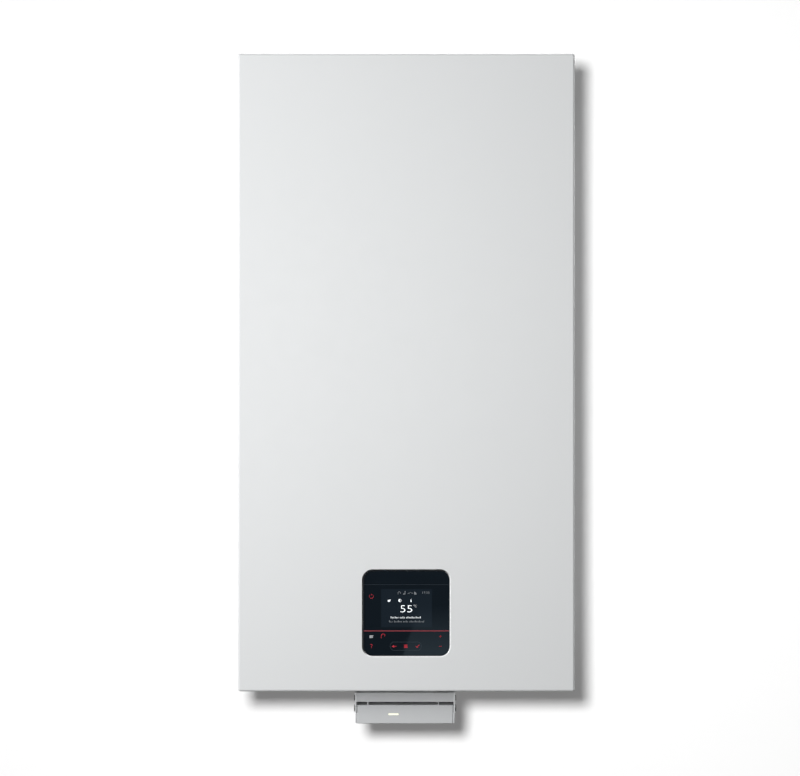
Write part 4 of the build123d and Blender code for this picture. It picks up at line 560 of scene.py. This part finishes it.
def soften(shape, geom, offset, steps, affect):
    """Rounds corners or edges."""
    bmesh.ops.bevel(
        shape, geom=list(geom), offset=offset, offset_type="OFFSET", segments=steps,
        profile=0.5, affect=affect, material=-1,
    )


def bar(shape, across, up, width, height, corner=0.0, turn=0.0, steps=4):
    """A flat bar in a drawing plane, in millimetres."""
    turned = Matrix.Rotation(math.radians(turn), 4, "Z")
    place = Matrix.Translation((across, up, 0)) @ turned @ Matrix.Diagonal((width, height, 1, 1))
    made = bmesh.ops.create_grid(shape, x_segments=1, y_segments=1, size=0.5, matrix=place)
    if corner:
        soften(shape, made["verts"], corner, steps, "VERTICES")


def disc(shape, across, up, radius, segments):
    """A flat disc."""
    bmesh.ops.create_circle(
        shape, cap_ends=True, segments=segments, radius=radius, matrix=Matrix.Translation((across, up, 0))
    )


def outline(shape, points):
    """A flat shape with straight sides."""
    shape.faces.new([shape.verts.new((x, y, 0)) for x, y in points])


def hoop(shape, across, up, radius, width, start, sweep, steps=28):
    """A flat arc of constant width."""
    turn = math.radians(start)
    way = Vector((math.cos(turn), math.sin(turn), 0))
    centre = Vector((across, up, 0))
    inner = shape.verts.new(centre + way * (radius - width / 2))
    outer = shape.verts.new(centre + way * (radius + width / 2))
    edge = shape.edges.new((inner, outer))
    bmesh.ops.spin(
        shape, geom=[inner, outer, edge], cent=centre, axis=(0, 0, 1), angle=math.radians(sweep),
        steps=steps, use_merge=sweep >= 360, use_normal_flip=False,
    )


def figures(shape, digits, across, up, height, bold, apart, wide=1.0):
    """Figures as flat faces, centred on a point."""
    curve = bpy.data.curves.new("figures", "FONT")
    curve.body = digits
    curve.align_x = "CENTER"
    curve.align_y = "CENTER"
    curve.size = height * 1.37
    curve.offset = bold
    curve.space_character = apart
    curve.resolution_u = 4
    add_curve(shape, curve, Matrix.Translation((across, up, 0)) @ Matrix.Diagonal((wide, 1, 1, 1)))


def spot(x, y, height):
    """A point in metres from millimetres across, in depth and above the casing's bottom edge."""
    return Vector((x * MM, y * MM, BASE + height * MM))


def on_circle(centre, radius, angle, y):
    """A place, in millimetres, on a circle that faces the front."""
    turn = math.radians(angle)
    return centre[0] + radius * math.cos(turn), y, centre[1] + radius * math.sin(turn)


def rod(shape, foot, way, start, end, radius, segments=32, tip=None):
    """A round, hexagonal or tapered bar, from one distance off its foot to another."""
    way = Vector(way)
    turn = way.to_track_quat("Z", "Y").to_matrix().to_4x4()
    bmesh.ops.create_cone(
        shape, cap_ends=True, segments=segments, radius1=radius * MM,
        radius2=(tip or radius) * MM, depth=(end - start) * MM,
        matrix=Matrix.Translation(spot(*foot) + way * (start + end) / 2 * MM) @ turn,
    )


def band(shape, centre, axis, inner, thick, width, segments=48):
    """A ring of strip round an axis along X, Y or Z."""
    middle, along = spot(*centre), Vector(axis)
    out = Vector(ACROSS if axis == UP else UP)
    corners = []
    for radius, shift in ((inner, -0.5), (inner + thick, -0.5), (inner + thick, 0.5), (inner, 0.5)):
        corners.append(shape.verts.new(middle + (out * radius + along * shift * width) * MM))
    edges = [shape.edges.new((corners[i], corners[(i + 1) % 4])) for i in range(4)]
    bmesh.ops.spin(
        shape, geom=corners + edges, cent=middle, axis=along, angle=math.tau, steps=segments,
        use_merge=True, use_normal_flip=False,
    )


def box(shape, low, high, bevel=0.0):
    """A box between two corners, its edges rounded."""
    low, high = spot(*low), spot(*high)
    place = Matrix.Translation((low + high) / 2) @ Matrix.Diagonal((*(high - low), 1))
    made = bmesh.ops.create_cube(shape, size=1.0, matrix=place)
    if bevel:
        edges = {edge for vertex in made["verts"] for edge in vertex.link_edges}
        soften(shape, edges, bevel * MM, 2, "EDGES")


def cross(shape, foot, lift, radius):
    """A thin dark cross on a screw's head: painted shade where the driver's recess is."""
    size = Matrix.Diagonal((radius * 1.15 * MM, 0.08 * MM, radius * 0.28 * MM, 1))
    middle = spot(*foot) + Vector(FRONT) * lift * MM
    for turn in (45, -45):
        place = Matrix.Translation(middle) @ Matrix.Rotation(math.radians(turn), 4, "Y")
        bmesh.ops.create_cube(shape, size=1.0, matrix=place @ size)


def lead(shape, points, radius):
    """A wire that bends softly through its points."""
    curve = bpy.data.curves.new("lead", "CURVE")
    curve.dimensions = "3D"
    curve.bevel_depth = radius * MM
    curve.bevel_resolution = 2
    curve.resolution_u = 8
    curve.use_fill_caps = True
    spline = curve.splines.new("BEZIER")
    spline.bezier_points.add(len(points) - 1)
    for knot, point in zip(spline.bezier_points, points):
        knot.co = spot(*point)
        knot.handle_left_type = knot.handle_right_type = "AUTO"
    add_curve(shape, curve, Matrix())


def gather(parts):
    """A bmesh of parts: each is a tool and what it takes, in millimetres."""
    shape = bmesh.new()
    for tool, *values in parts:
        tool(shape, *values)
    return shape


def finish_piece(name, shape, slot, smooth=True, body="chassis"):
    """Closes a solid piece and gives it the finish of its slot."""
    bmesh.ops.remove_doubles(shape, verts=shape.verts, dist=1e-6)
    bmesh.ops.recalc_face_normals(shape, faces=shape.faces)
    piece = keep(name, shape, body, bpy.data.materials[FINISH_NAMES[slot]], smooth)
    if smooth:
        piece.data.set_sharp_from_angle(angle=math.radians(35))


def build(name, slot, parts, smooth=True, body="chassis"):
    """Makes a solid piece of its parts."""
    finish_piece(name, gather(parts), slot, smooth, body)


def draw(name, tone, *marks, lift=0.03, thick=0.05):
    """Prints marks on the display glass."""
    shape = gather(marks)
    bmesh.ops.remove_doubles(shape, verts=shape.verts, dist=0.0005)
    for face in shape.faces:
        if face.normal.z < 0:
            face.normal_flip()
    thicken(shape, thick)
    bmesh.ops.recalc_face_normals(shape, faces=shape.faces)
    face_front(shape, (MARK_X, GLASS_Y - lift * MM, MARK_Z), MM * MARK_SCALE)
    keep(name, shape, "control_box", tone)


# ---- operators
class BOILER_OT_finishes(bpy.types.Operator):
    """Give every CAD node its finish"""

    bl_idname = "boiler.finishes"
    bl_label = "Finishes"

    def execute(self, context):
        made = finishes()
        FINISH_NAMES.update({slot: tone.name for slot, tone in made.items()})
        slots = {row["node"]: row["material_slot"] for row in frame["record"]["subparts"]}
        for node, piece in frame["nodes"].items():
            if not piece.material_slots:
                piece.data.materials.append(made[slots[node]])
            for slot in piece.material_slots:
                slot.material = made[slots[node]]
        return {"FINISHED"}


class BOILER_OT_fasteners(bpy.types.Operator):
    """Put nuts, screw heads, test points and a sight glass on the inner parts"""

    bl_idname = "boiler.fasteners"
    bl_label = "Nuts and screws"

    def execute(self, context):
        nuts, washers, crosses = [], [], []
        for step in range(NUT_COUNT):
            foot = on_circle(EXCHANGER, NUT_CIRCLE, (step + 0.5) * 360 / NUT_COUNT, DOOR_FLANGE)
            washers.append((rod, foot, FRONT, 0.01, 1.2, 8.4))
            nuts.append((rod, foot, FRONT, 1.2, 4.6, 7.6, 6))
        heads = [(on_circle(FAN, FAN_SCREW_CIRCLE, angle, FAN_FACE), 3.4) for angle in FAN_SCREWS]
        for columns, rows, face, radius in HOUSING_SCREWS:
            heads += [((x, face, z), radius) for x in columns for z in rows]
        for foot, radius in heads:
            nuts.append((rod, foot, FRONT, 0.01, 2.0, radius, 24, radius * 0.72))
            crosses.append((cross, foot, 2.02, radius))
        for x in (-FLANGE_SCREW_X, FLANGE_SCREW_X):
            crosses += [(cross, (x, FLANGE_SCREW_FACE, height), 0.0, 3.0) for height in FLANGE_SCREWS]
        nuts += [(rod, (x, UNION_FACE, height), FRONT, 0, 9, 13.5, 6) for x, height in UNIONS]
        build("door_nuts", "zinc_screws", nuts)
        build("door_washers", "zinc_screws", washers)
        # the dark crosses on the screw heads are painted shade of the driver recesses
        build("painted_recess_shade", "dark_iron", crosses, False)
        build("gas_test_points", "yellow_brass", [
            (rod, (x, VALVE_FACE, 452), FRONT, *sizes)
            for x in (-107, -67) for sizes in ((0, 7, 3.6), (7, 10, 2.4))
        ])
        build("pump_vent_screw", "stainless", [
            (rod, PUMP, FRONT, 0, 2.5, 10), (rod, PUMP, FRONT, 2.5, 3.5, 8.6, 32, 7.8),
        ])
        # a thin dark bar on the vent screw's face is painted shade of its slot
        slot = (box, (-113, PUMP_FACE - 3.6, 169.3), (-99.5, PUMP_FACE - 3.4, 170.7))
        build("painted_vent_slot_shade", "dark_iron", [slot], False)

        x, face, height = on_circle(EXCHANGER, 74, 135, DOOR_FLANGE)
        build("sight_glass_frame", "zinc_screws", [
            (band, (x, face - 3, height), DEEP, 7.0, 3.6, 6),
            (rod, (x + 11.5, face, height), FRONT, 0, 3.2, 3.4, 20),
            (rod, (x - 11.5, face, height), FRONT, 0, 3.2, 3.4, 20),
        ])
        build("sight_glass_pane", "black_glass", [(rod, (x, face, height), FRONT, 0.2, 2.6, 7.0)])
        return {"FINISHED"}


class BOILER_OT_clamps(bpy.types.Operator):
    """Clamp the pipes to the bulkhead, strap the vessels and seal the flue"""

    bl_idname = "boiler.clamps"
    bl_label = "Clamps and straps"

    def execute(self, context):
        clamps, screws = [], []
        rear, face = BULKHEAD - 0.02, BULKHEAD - 1.6
        for x, y, height, radius, upright in PIPE_CLAMPS:
            clamps.append((band, (x, y, height), UP if upright else ACROSS, radius + 0.1, 1.4, 14))
            for wide, tall, near, far, bevel in ((1.5, 7, y + radius, BULKHEAD, 0), (12, 7, face, rear, 0.4)):
                if not upright:
                    wide, tall = tall, wide
                clamps.append((box, (x - wide, near, height - tall), (x + wide, far, height + tall), bevel))
            for shift in (-8, 8):
                foot = (x + shift, face, height) if upright else (x, face, height + shift)
                screws.append((rod, foot, FRONT, 0, 1.8, 2.8, 20, 2.0))
        build("pipe_clamps", "galvanised", clamps)
        build("clamp_screws", "zinc_screws", screws)

        straps, pads = [], []
        for x, y, radius, heights in VESSEL_STRAPS:
            gap, face = x - radius * 0.5, y - radius * 0.87 - 2.6
            for height in heights:
                straps += [
                    (band, (x, y, height), UP, radius + 1.0, 0.8, 18, 96),
                    (box, (gap - 6, face - 2, height - 8), (gap + 6, face + 1.5, height + 8), 0.5),
                    (rod, (gap, face - 0.5, height), ACROSS, -10, 10, 2.4, 20),
                ]
                pads.append((band, (x, y, height), UP, radius + 0.05, 0.95, 22, 96))
        build("vessel_straps", "stainless", straps)
        build("strap_pads", "black_rubber", pads)

        top = (COVER_HIGH[2] - BASE) / MM
        build("flue_seals", "black_rubber", [
            (band, (0, FLUE_Y, top + 13), UP, 28.8, 1.4, 6), (band, (0, FLUE_Y, top + 17), UP, 45.4, 1.8, 6),
        ])
        caps = []
        for angle in (50, 130):
            x, _, y = on_circle((0, FLUE_Y), TEST_POINT_CIRCLE, angle, 0)
            caps += [(rod, (x, y, top + 5), UP, *sizes) for sizes in ((0, 7, 6.0, 14), (7, 8, 5.2, 14, 4.4))]
        build("test_point_caps", "black_plastic", caps)
        return {"FINISHED"}


class BOILER_OT_cradle_edges(bpy.types.Operator):
    """Add black blocks by the cradle's cheeks as painted slot shade, white strips on the cheeks' front edges
    as painted highlights, and strips to the receiver's edges
    """

    bl_idname = "boiler.latches"
    bl_label = "Cradle and receiver edges"

    def execute(self, context):
        # black blocks outside the cheeks at two heights are painted shade, standing in for the shade in the
        # cheeks' slots
        self.strips(
            "painted_slot_shade", "black_plastic", "receiver_cradle", (0.05, 1.7), (-519.6, -506),
            ((-18.6, -12.6), (-34.2, -26.0)), 0.3,
        )
        # white strips on the cheeks' front edges are painted highlights, standing in for the light those
        # edges catch
        self.strips(
            "painted_edge_highlights", "white_enamel", "receiver_cradle", (0.4, -1.9), (-520.8, -520.02),
            ((-36, -0.8),), 0.2,
        )
        self.strips(
            "receiver_edges", "receiver_plastic", "receiver_housing", (-0.5, 1.7), (-519.7, -508),
            ((-50.8, -36.6),), 0.7, "radio_receiver",
        )
        return {"FINISHED"}

    def strips(self, name, slot, node, outwards, depths, levels, bevel, body="chassis"):
        """Blocks at both side edges of a node, placed by how far they reach outwards."""
        low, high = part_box(node)
        parts = []
        for side, edge in ((-1, low[0] / MM), (1, high[0] / MM)):
            left, right = sorted(edge + side * reach for reach in outwards)
            for bottom, top in levels:
                parts.append((box, (left, depths[0], bottom), (right, depths[1], top), bevel))
        build(name, slot, parts, body=body)


class BOILER_OT_wiring(bpy.types.Operator):
    """Run the leads from the sensors and drives to the cable duct"""

    bl_idname = "boiler.wiring"
    bl_label = "Leads and sensors"

    def execute(self, context):
        clips = []
        for x, y, height, radius in SENSORS:
            face = y - radius - 4
            clips += [
                (band, (x, y, height), UP, radius + 0.05, 1.2, 9, 32),
                (box, (x - 3.5, face - 3.6, height - 6), (x + 3.5, face + 3.4, height + 6), 1.0),
            ]
        build("sensor_clips", "black_plastic", clips)
        for name, slot, radius, routes in LEADS:
            build(name, slot, [(lead, route, radius) for route in routes])
        tip = on_circle(EXCHANGER, 66, 45, -444)
        build("igniter_boot", "red_plastic", [
            (rod, tip, FRONT, 0, 14, 5.6, 28, 4.2), (rod, tip, FRONT, 14, 20, 3.4, 28),
        ])

        ties = []
        for height in UPRIGHT_TIES:
            ties += [
                (band, (-223, -494, height), UP, 6.4, 1.0, 4.6, 24),
                (box, (-221, -503.8, height - 2.6), (-216, -499.8, height + 2.6), 0.5),
            ]
        for x in LEVEL_TIES:
            ties += [
                (band, (x, -461, 39), ACROSS, 3.6, 1.0, 4.4, 24),
                (box, (x - 2.4, -467.6, 38), (x + 2.4, -464.2, 42.6), 0.5),
                (box, (x - 3, -463, 29.02), (x + 3, -459, 35.8)),
            ]
        build("cable_ties", "white_plastic", ties)
        build("drive_plugs", "black_plastic", [
            (box, (20, -416, 128), (38, -398, 146), 1.5), (box, (-128, -462, 126), (-100, -449, 142), 1.5),
            (box, (160, -447, 149), (180, -434, 161), 1.2),
        ])
        return {"FINISHED"}


class BOILER_OT_window_trim(bpy.types.Operator):
    """Line the display window's bevel with polished trim and a dark seal"""

    bl_idname = "boiler.window_trim"
    bl_label = "Window trim"

    def execute(self, context):
        across, up = ((GLASS_HIGH[axis] - GLASS_LOW[axis]) / MM - 2 * GLASS_HIDDEN for axis in (0, 2))
        shape = bmesh.new()
        bar(shape, 0, 0, across + 2 * WINDOW_BEVEL, up + 2 * WINDOW_BEVEL, MOUTH_RADIUS, steps=CORNER_STEPS)
        bmesh.ops.recalc_face_normals(shape, faces=shape.faces)
        if shape.faces[0].normal.z < 0:
            shape.faces[0].normal_flip()
        bmesh.ops.inset_region(
            shape, faces=shape.faces[:], thickness=WINDOW_BEVEL, use_boundary=True, use_even_offset=True
        )
        inner = max(shape.faces, key=lambda face: len(face.verts))
        bmesh.ops.translate(shape, verts=inner.verts, vec=(0, 0, -WINDOW_DEPTH))
        bmesh.ops.delete(shape, geom=[inner], context="FACES_ONLY")
        bmesh.ops.solidify(shape, geom=shape.faces, thickness=0.12)
        bmesh.ops.recalc_face_normals(shape, faces=shape.faces)
        face_front(shape, (GLASS_X, COVER_LOW[1] - 0.02 * MM, GLASS_Z))
        polished = brushed("polished_trim", (0.98, 0.98, 0.985), 0.12)
        keep("window_trim", shape, "front_cover", polished)

        # dark seal over the trim's inner edge, wider at the right and below
        corner = MOUTH_RADIUS - WINDOW_BEVEL
        wide, tall = across + SEAL_RIGHT, up + SEAL_BELOW
        seal = bmesh.new()
        bar(seal, SEAL_RIGHT / 2, -SEAL_BELOW / 2, wide, tall, corner, steps=CORNER_STEPS)
        bar(seal, 0, 0, across - 0.3, up - 0.3, corner, steps=CORNER_STEPS)
        bmesh.ops.delete(seal, geom=seal.faces[:], context="FACES_ONLY")
        bmesh.ops.bridge_loops(seal, edges=seal.edges[:])
        thicken(seal, SEAL_THICK)
        face_front(seal, (GLASS_X, COVER_LOW[1] + 1.9 * MM, GLASS_Z))
        finish_piece("window_seal", seal, "black_glass", body="front_cover")
        return {"FINISHED"}


class BOILER_OT_display(bpy.types.Operator):
    """Draw the display's lit field, readout and touch keys"""

    bl_idname = "boiler.display"
    bl_label = "Display marks"

    def execute(self, context):
        setting = context.scene.boiler_display
        red = ink("key_red", setting.red, 0.32)
        dim_red = ink("key_dim_red", darker(setting.red, 0.60), 0.18)
        white = ink("readout_white", setting.white, 0.75)
        bold = ink("readout_bold", darker(setting.white, 0.8), 0.7)
        grey = ink("mark_grey", setting.grey, 0.5)
        pale = ink("key_grey", (0.36, 0.37, 0.38), 0.7)
        faint = ink("mark_faint", (0.022, 0.029, 0.036), 0.5)
        field = ink("lit_field", setting.field, 0.2, 0.03)
        line_red = ink("line_red", (0.235, 0.038, 0.048), 0.18)

        # bar: across, up, width, height, corner, turn; hoop: across, up, radius, width, start, sweep, steps
        draw("display_field", field, (bar, 1.0, 6.0, 72, 54), lift=0.0, thick=0.02)
        draw("display_header_rule", faint, (bar, 0, 39.3, 120.6, 0.35))
        draw("display_red_line", line_red, (bar, 0.4, -26.3, 121.9, setting.line_width / MM))
        draw("power_key", red, (hoop, -48.8, 22.8, 2.9, 0.42, 125, 290), (bar, -48.8, 25.2, 0.45, 2.2))
        draw(
            "radiator_key", pale,
            *[(bar, -51.0 + column * 1.25, -34.5, 0.7, 3.8, 0.2) for column in range(4)],
            *[(bar, -49.1, height, 4.6, 0.5) for height in (-33.3, -35.7)],
            (bar, -46.4, -32.9, 1.0, 0.6),
        )
        draw(
            "tap_key", red,
            (hoop, -32.4, -33.0, 2.5, 0.62, 0, 180), (bar, -34.9, -34.9, 0.62, 3.8),
            (bar, -29.9, -33.5, 0.62, 1.0), (bar, -34.0, -32.2, 1.6, 0.6, 0, 40),
        )
        draw(
            "plus_minus_keys", dim_red,
            (bar, 49, -34, 3.6, 0.8), (bar, 49, -34, 0.8, 3.6), (bar, 49, -48.2, 3.8, 0.8),
        )
        draw(
            "help_key", red,
            (hoop, -48.8, -46.6, 1.2, 0.6, -60, 220, 16), (bar, -48.6, -48.5, 0.6, 1.3),
            (disc, -48.6, -50.0, 0.42, 12),
        )
        draw(
            "key_frame", faint,
            (hoop, -16.3, -48, 5.9, 0.5, 90, 180), (hoop, 16.3, -48, 5.9, 0.5, -90, 180),
            *[(bar, 0, height, 32.6, 0.5) for height in (-42.1, -53.9)],
        )
        draw(
            "menu_keys", red,
            (outline, [(-19.8, -48.2), (-16.8, -46.2), (-16.8, -50.2)]), (bar, -15.2, -48.2, 3.2, 0.8),
            *[(bar, 0, height, 4.8, 0.9) for height in (-46.5, -48.2, -49.9)],
            (bar, 15.2, -49.0, 0.75, 2.8, 0, 45), (bar, 17.4, -47.9, 0.75, 5.2, 0, -35),
        )
        draw(
            "status_marks", grey,
            (hoop, -9.3, 27.6, 1.7, 0.5, 0, 180, 12), (bar, -11.0, 26.4, 0.5, 2.4),
            (bar, -7.6, 27.0, 0.5, 1.2),
            *[(bar, x, 25.2 + tall / 2, 0.8, tall) for x, tall in ((-3.4, 1.4), (-2.2, 2.3), (-1.0, 3.6))],
            (disc, -1.0, 29.4, 0.8, 14), (hoop, 3.9, 26.2, 1.0, 0.45, 0, 180, 12),
            (hoop, 6.6, 26.6, 1.6, 0.45, 20, 140, 12), (hoop, 9.1, 26.4, 1.1, 0.45, 0, 150, 12),
            (outline, [(11.9, 25.3), (11.9, 29.2), (13.1, 29.2), (15.3, 26.4), (15.3, 25.3)]),
        )
        draw("time_figures", grey, (figures, "17:30", 28.1, 27.7, 3.2, 0.008, 1.12))
        draw(
            "state_marks", white,
            (bar, -24.0, 16.4, 3.0, 2.6, 0.4), (bar, -22.0, 17.5, 1.1, 1.1),
            (hoop, -8.4, 16.9, 1.9, 0.45, 0, 360, 24), (hoop, -8.4, 16.9, 0.85, 1.6, 90, 180, 12),
            (outline, [
                (7.4, 14.4), (8.1, 15.0), (8.2, 16.2), (7.8, 17.2),
                (7.7, 19.2), (7.1, 17.8), (6.7, 16.4), (6.7, 15.1),
            ]),
        )
        tall = setting.digit_height / MM
        draw("temperature_figures", white, (figures, "55", 0.8, 4.5, tall, -0.2, 1.0, 1.31))
        draw(
            "degree_mark", pale,
            (hoop, 11.6, 10.2, 0.6, 0.35, 0, 360, 12), (hoop, 14.2, 8.9, 1.4, 0.5, 50, 260, 14),
        )
        draw("readout_line_one", bold, *self.bars(-21.6, -7.6, (6, 4, 11)))
        draw("readout_line_two", grey, *self.bars(-24.0, -13.3, (3, 6, 4, 11)))
        return {"FINISHED"}

    def bars(self, across, up, groups):
        """A line of short bars in groups, some taller than the others."""
        marks = []
        for count in groups:
            for index in range(count):
                tall = BAR_HIGH if (index * 7 + count) % 3 == 0 else BAR_LOW
                marks.append((bar, across + 0.72, up + tall / 2 - 0.9, BAR_WIDTH, tall, 0.2))
                across += BAR_PITCH
            across += BAR_GAP
        return marks


class BOILER_OT_stage(bpy.types.Operator):
    """Build the wall, floor, lamps and camera"""

    bl_idname = "boiler.stage"
    bl_label = "Stage"

    def plane(self, name, matrix, size, paint):
        """A square of wall or floor."""
        shape = bmesh.new()
        bmesh.ops.create_grid(shape, x_segments=1, y_segments=1, size=size, matrix=matrix)
        made = as_object(name, shape, paint)
        made.visible_diffuse = False
        return made

    def backdrop(self, name, level, glow, one_sided):
        """Paint that the camera sees at its own level, and mirrors and clear glass at another."""
        made, mix = material(name)
        camera, mirror = mix.rays()
        plain = mix.add("ShaderNodeBsdfDiffuse", {}, {"Color": (*PLAIN, 1)})
        bright = mix.add("ShaderNodeBsdfDiffuse", {}, {"Color": (level, level, level, 1)})
        shown = mix.add("ShaderNodeAddShader", {}, {0: bright, 1: mix.light(EMISSION, WHITE, glow)})
        paint = mix.either(mirror, mix.either(camera, plain, shown), mix.light(EMISSION, MIRRORED, 1.0))
        if one_sided:
            behind = mix.add("ShaderNodeNewGeometry", outlet="Backfacing")
            paint = mix.either(behind, paint, mix.add("ShaderNodeBsdfTransparent"))
        mix.close(paint)
        return made

    def card(self, name, tint, points, fade=None):
        """A card that only reflections see, fading out between two places on an axis."""
        tone, mix = material(name)
        glow = mix.light(EMISSION, tint, 1.0)
        if fade:
            axis, start, end = fade
            here = mix.add("ShaderNodeSeparateXYZ", {}, {0: mix.place()}, axis)
            glow = mix.either(mix.rise(here, start, end), glow, mix.add("ShaderNodeBsdfTransparent"))
        mix.close(glow)
        shape = bmesh.new()
        shape.faces.new([shape.verts.new(point) for point in points])
        made = as_object(name, shape, tone)
        made.visible_camera = made.visible_diffuse = False
        made.visible_shadow = made.visible_transmission = False

    def lamp(self, name, place, aim, energy, size):
        """A round area lamp, turned to its aim."""
        data = bpy.data.lights.new(name, "AREA")
        data.shape = "DISK"
        data.size = size
        data.energy = energy
        made = linked(name, data)
        made.location = place
        made.rotation_euler = (Vector(aim) - Vector(place)).to_track_quat("-Z", "Y").to_euler()
        made.visible_camera = False
        return made

    def limit(self, lamps, surface, state):
        """Lets lamps light one surface alone, or everything else."""
        group = bpy.data.collections.new(surface.name + "_" + state.lower())
        group.objects.link(surface)
        group.collection_objects[0].light_linking.link_state = state
        for lamp in lamps:
            lamp.light_linking.receiver_collection = group

    def execute(self, context):
        scene = context.scene
        setting = scene.boiler_stage
        front, top = COVER_LOW[1], COVER_HIGH[2]
        middle = (BASE + top) / 2
        low = BASE - FLOOR_DROP

        upright = Matrix.Translation((0, WALL_GAP, 2.2)) @ Matrix.Rotation(math.radians(90), 4, "X")
        paint = self.backdrop("wall_paint", setting.wall, setting.wall_glow, True)
        wall = self.plane("wall", upright, 5.0, paint)
        wall.visible_shadow = False
        paint = self.backdrop("floor_paint", FLOOR_LEVEL, FLOOR_GLOW, False)
        self.plane("floor", Matrix.Translation((0, 0, low)), 7.0, paint)

        # dark studio behind the camera, and the paler panel that the glass mirrors
        side, near, far = 2.6, -0.2, -4.0
        depth = front - STUDIO_DEPTH
        self.card("studio_dark", (0.10, 0.11, 0.12), [
            (-side, depth, -3.2), (side, depth, -3.2), (side, depth, 2.6), (-side, depth, 2.6),
        ])
        self.card("dark_right", BLACK, [
            (side, far, -3.0), (side, near, -3.0), (side, near, 3.0), (side, far, 3.0),
        ], ("Z", BASE + 1.0, 3.0))
        low += 0.02
        self.card("dark_below", BLACK, [
            (-side, far, low), (side, far, low), (side, near, low), (-side, near, low),
        ], ("X", -0.5, -2.2))

        # the panel's corners, in millimetres on the glass as the camera sees them mirrored
        ahead = 0.01
        reach = (STUDIO_DEPTH - ahead) / setting.camera_distance
        corners = []
        for across, up in ((-6.5, -68), (10.4, -17.8), (15.0, 0), (17.0, 8), (78, 8), (78, -68)):
            x, z = MARK_X + across * MM, MARK_Z + up * MM
            corners.append((x + (x - CAMERA_X) * reach, depth + ahead, z + (z - BASE - CAMERA_RISE) * reach))
        fade = ("Z", corners[0][2] * 0.75 + corners[1][2] * 0.25, corners[3][2])
        self.card("pale_panel", (0.46, 0.60, 0.70), corners, fade)

        key = (KEY_ACROSS, front - KEY_DISTANCE, middle + KEY_RISE)
        aim, rear = (0, front, middle), setting.rear_power
        self.limit([self.lamp("wall_lamp", key, aim, setting.wall_power, setting.key_size)], wall, "INCLUDE")
        self.limit([
            self.lamp("key_lamp", key, aim, setting.key_power, setting.key_size),
            self.lamp("side_lamp", (-1.842, front - 1.535, BASE + 0.82), aim, setting.side_power, 1.1),
            self.lamp("right_lamp", (2.4, 1.6, middle + 0.4), (0.1, -0.25, middle), setting.right_power, 1.4),
            self.lamp("left_lamp", (-3.2, 0.8, middle + 0.4), (-0.1, -0.25, middle), rear, 1.4),
            self.lamp("rear_lamp", (-0.2, 3.2, middle + 1.0), (0, 0, middle), rear, 1.4),
            self.lamp("top_lamp", (0, 0.8, top + 2.8), (0, -0.3, top), rear, 1.4),
        ], wall, "EXCLUDE")

        world = bpy.data.worlds.new("studio")
        scene.world = world
        mix = Recipe(world)
        camera, mirror = mix.rays()
        seen = camera.maths("MAXIMUM", camera, mirror)
        even, white = (mix.light(BACKGROUND, WHITE, level) for level in (setting.world_level, 1.0))
        mix.close(mix.either(seen, even, white), "ShaderNodeOutputWorld")

        data = bpy.data.cameras.new("camera")
        data.sensor_width = 36.0
        data.lens = setting.lens
        data.clip_end = 100.0
        camera = linked("camera", data)
        camera.location = (CAMERA_X, front - setting.camera_distance, BASE + CAMERA_RISE)
        camera.rotation_euler = (math.radians(90), 0, 0)
        scene.camera = camera
        scene.view_settings.view_transform = "Standard"
        return {"FINISHED"}


class BOILER_PT_panel(bpy.types.Panel):
    """Lists the boiler's settings and the steps that dress it"""

    bl_idname = "BOILER_PT_panel"
    bl_label = "Boiler"
    bl_space_type = "VIEW_3D"
    bl_region_type = "UI"
    bl_category = "Boiler"

    def draw(self, context):
        column = self.layout.column()
        for name, group in SETTINGS.items():
            for key in group.__annotations__:
                column.prop(getattr(context.scene, name), key)
        for operator in OPERATORS:
            column.operator(operator.bl_idname)


SETTINGS = {
    "boiler_casing": CasingSettings,
    "boiler_display": DisplaySettings,
    "boiler_stage": StageSettings,
}
OPERATORS = (
    BOILER_OT_stage, BOILER_OT_finishes, BOILER_OT_fasteners, BOILER_OT_clamps, BOILER_OT_cradle_edges,
    BOILER_OT_wiring, BOILER_OT_window_trim, BOILER_OT_display,
)
CLASSES = (*SETTINGS.values(), *OPERATORS, BOILER_PT_panel)


def register():
    """Registers the classes and hangs the settings on the scene."""
    for made in CLASSES:
        bpy.utils.register_class(made)
    for key, group in SETTINGS.items():
        setattr(bpy.types.Scene, key, bpy.props.PointerProperty(type=group))


def unregister():
    """Takes the settings and classes away again."""
    for key in SETTINGS:
        delattr(bpy.types.Scene, key)
    for made in reversed(CLASSES):
        bpy.utils.unregister_class(made)


def main():
    """Dresses the model."""
    register()
    bpy.ops.boiler.stage()
    bpy.ops.boiler.finishes()
    bpy.ops.boiler.fasteners()
    bpy.ops.boiler.clamps()
    bpy.ops.boiler.latches()
    bpy.ops.boiler.wiring()
    bpy.ops.boiler.window_trim()
    bpy.ops.boiler.display()
    bpy.context.view_layer.update()


if __name__ == "__main__":
    main()
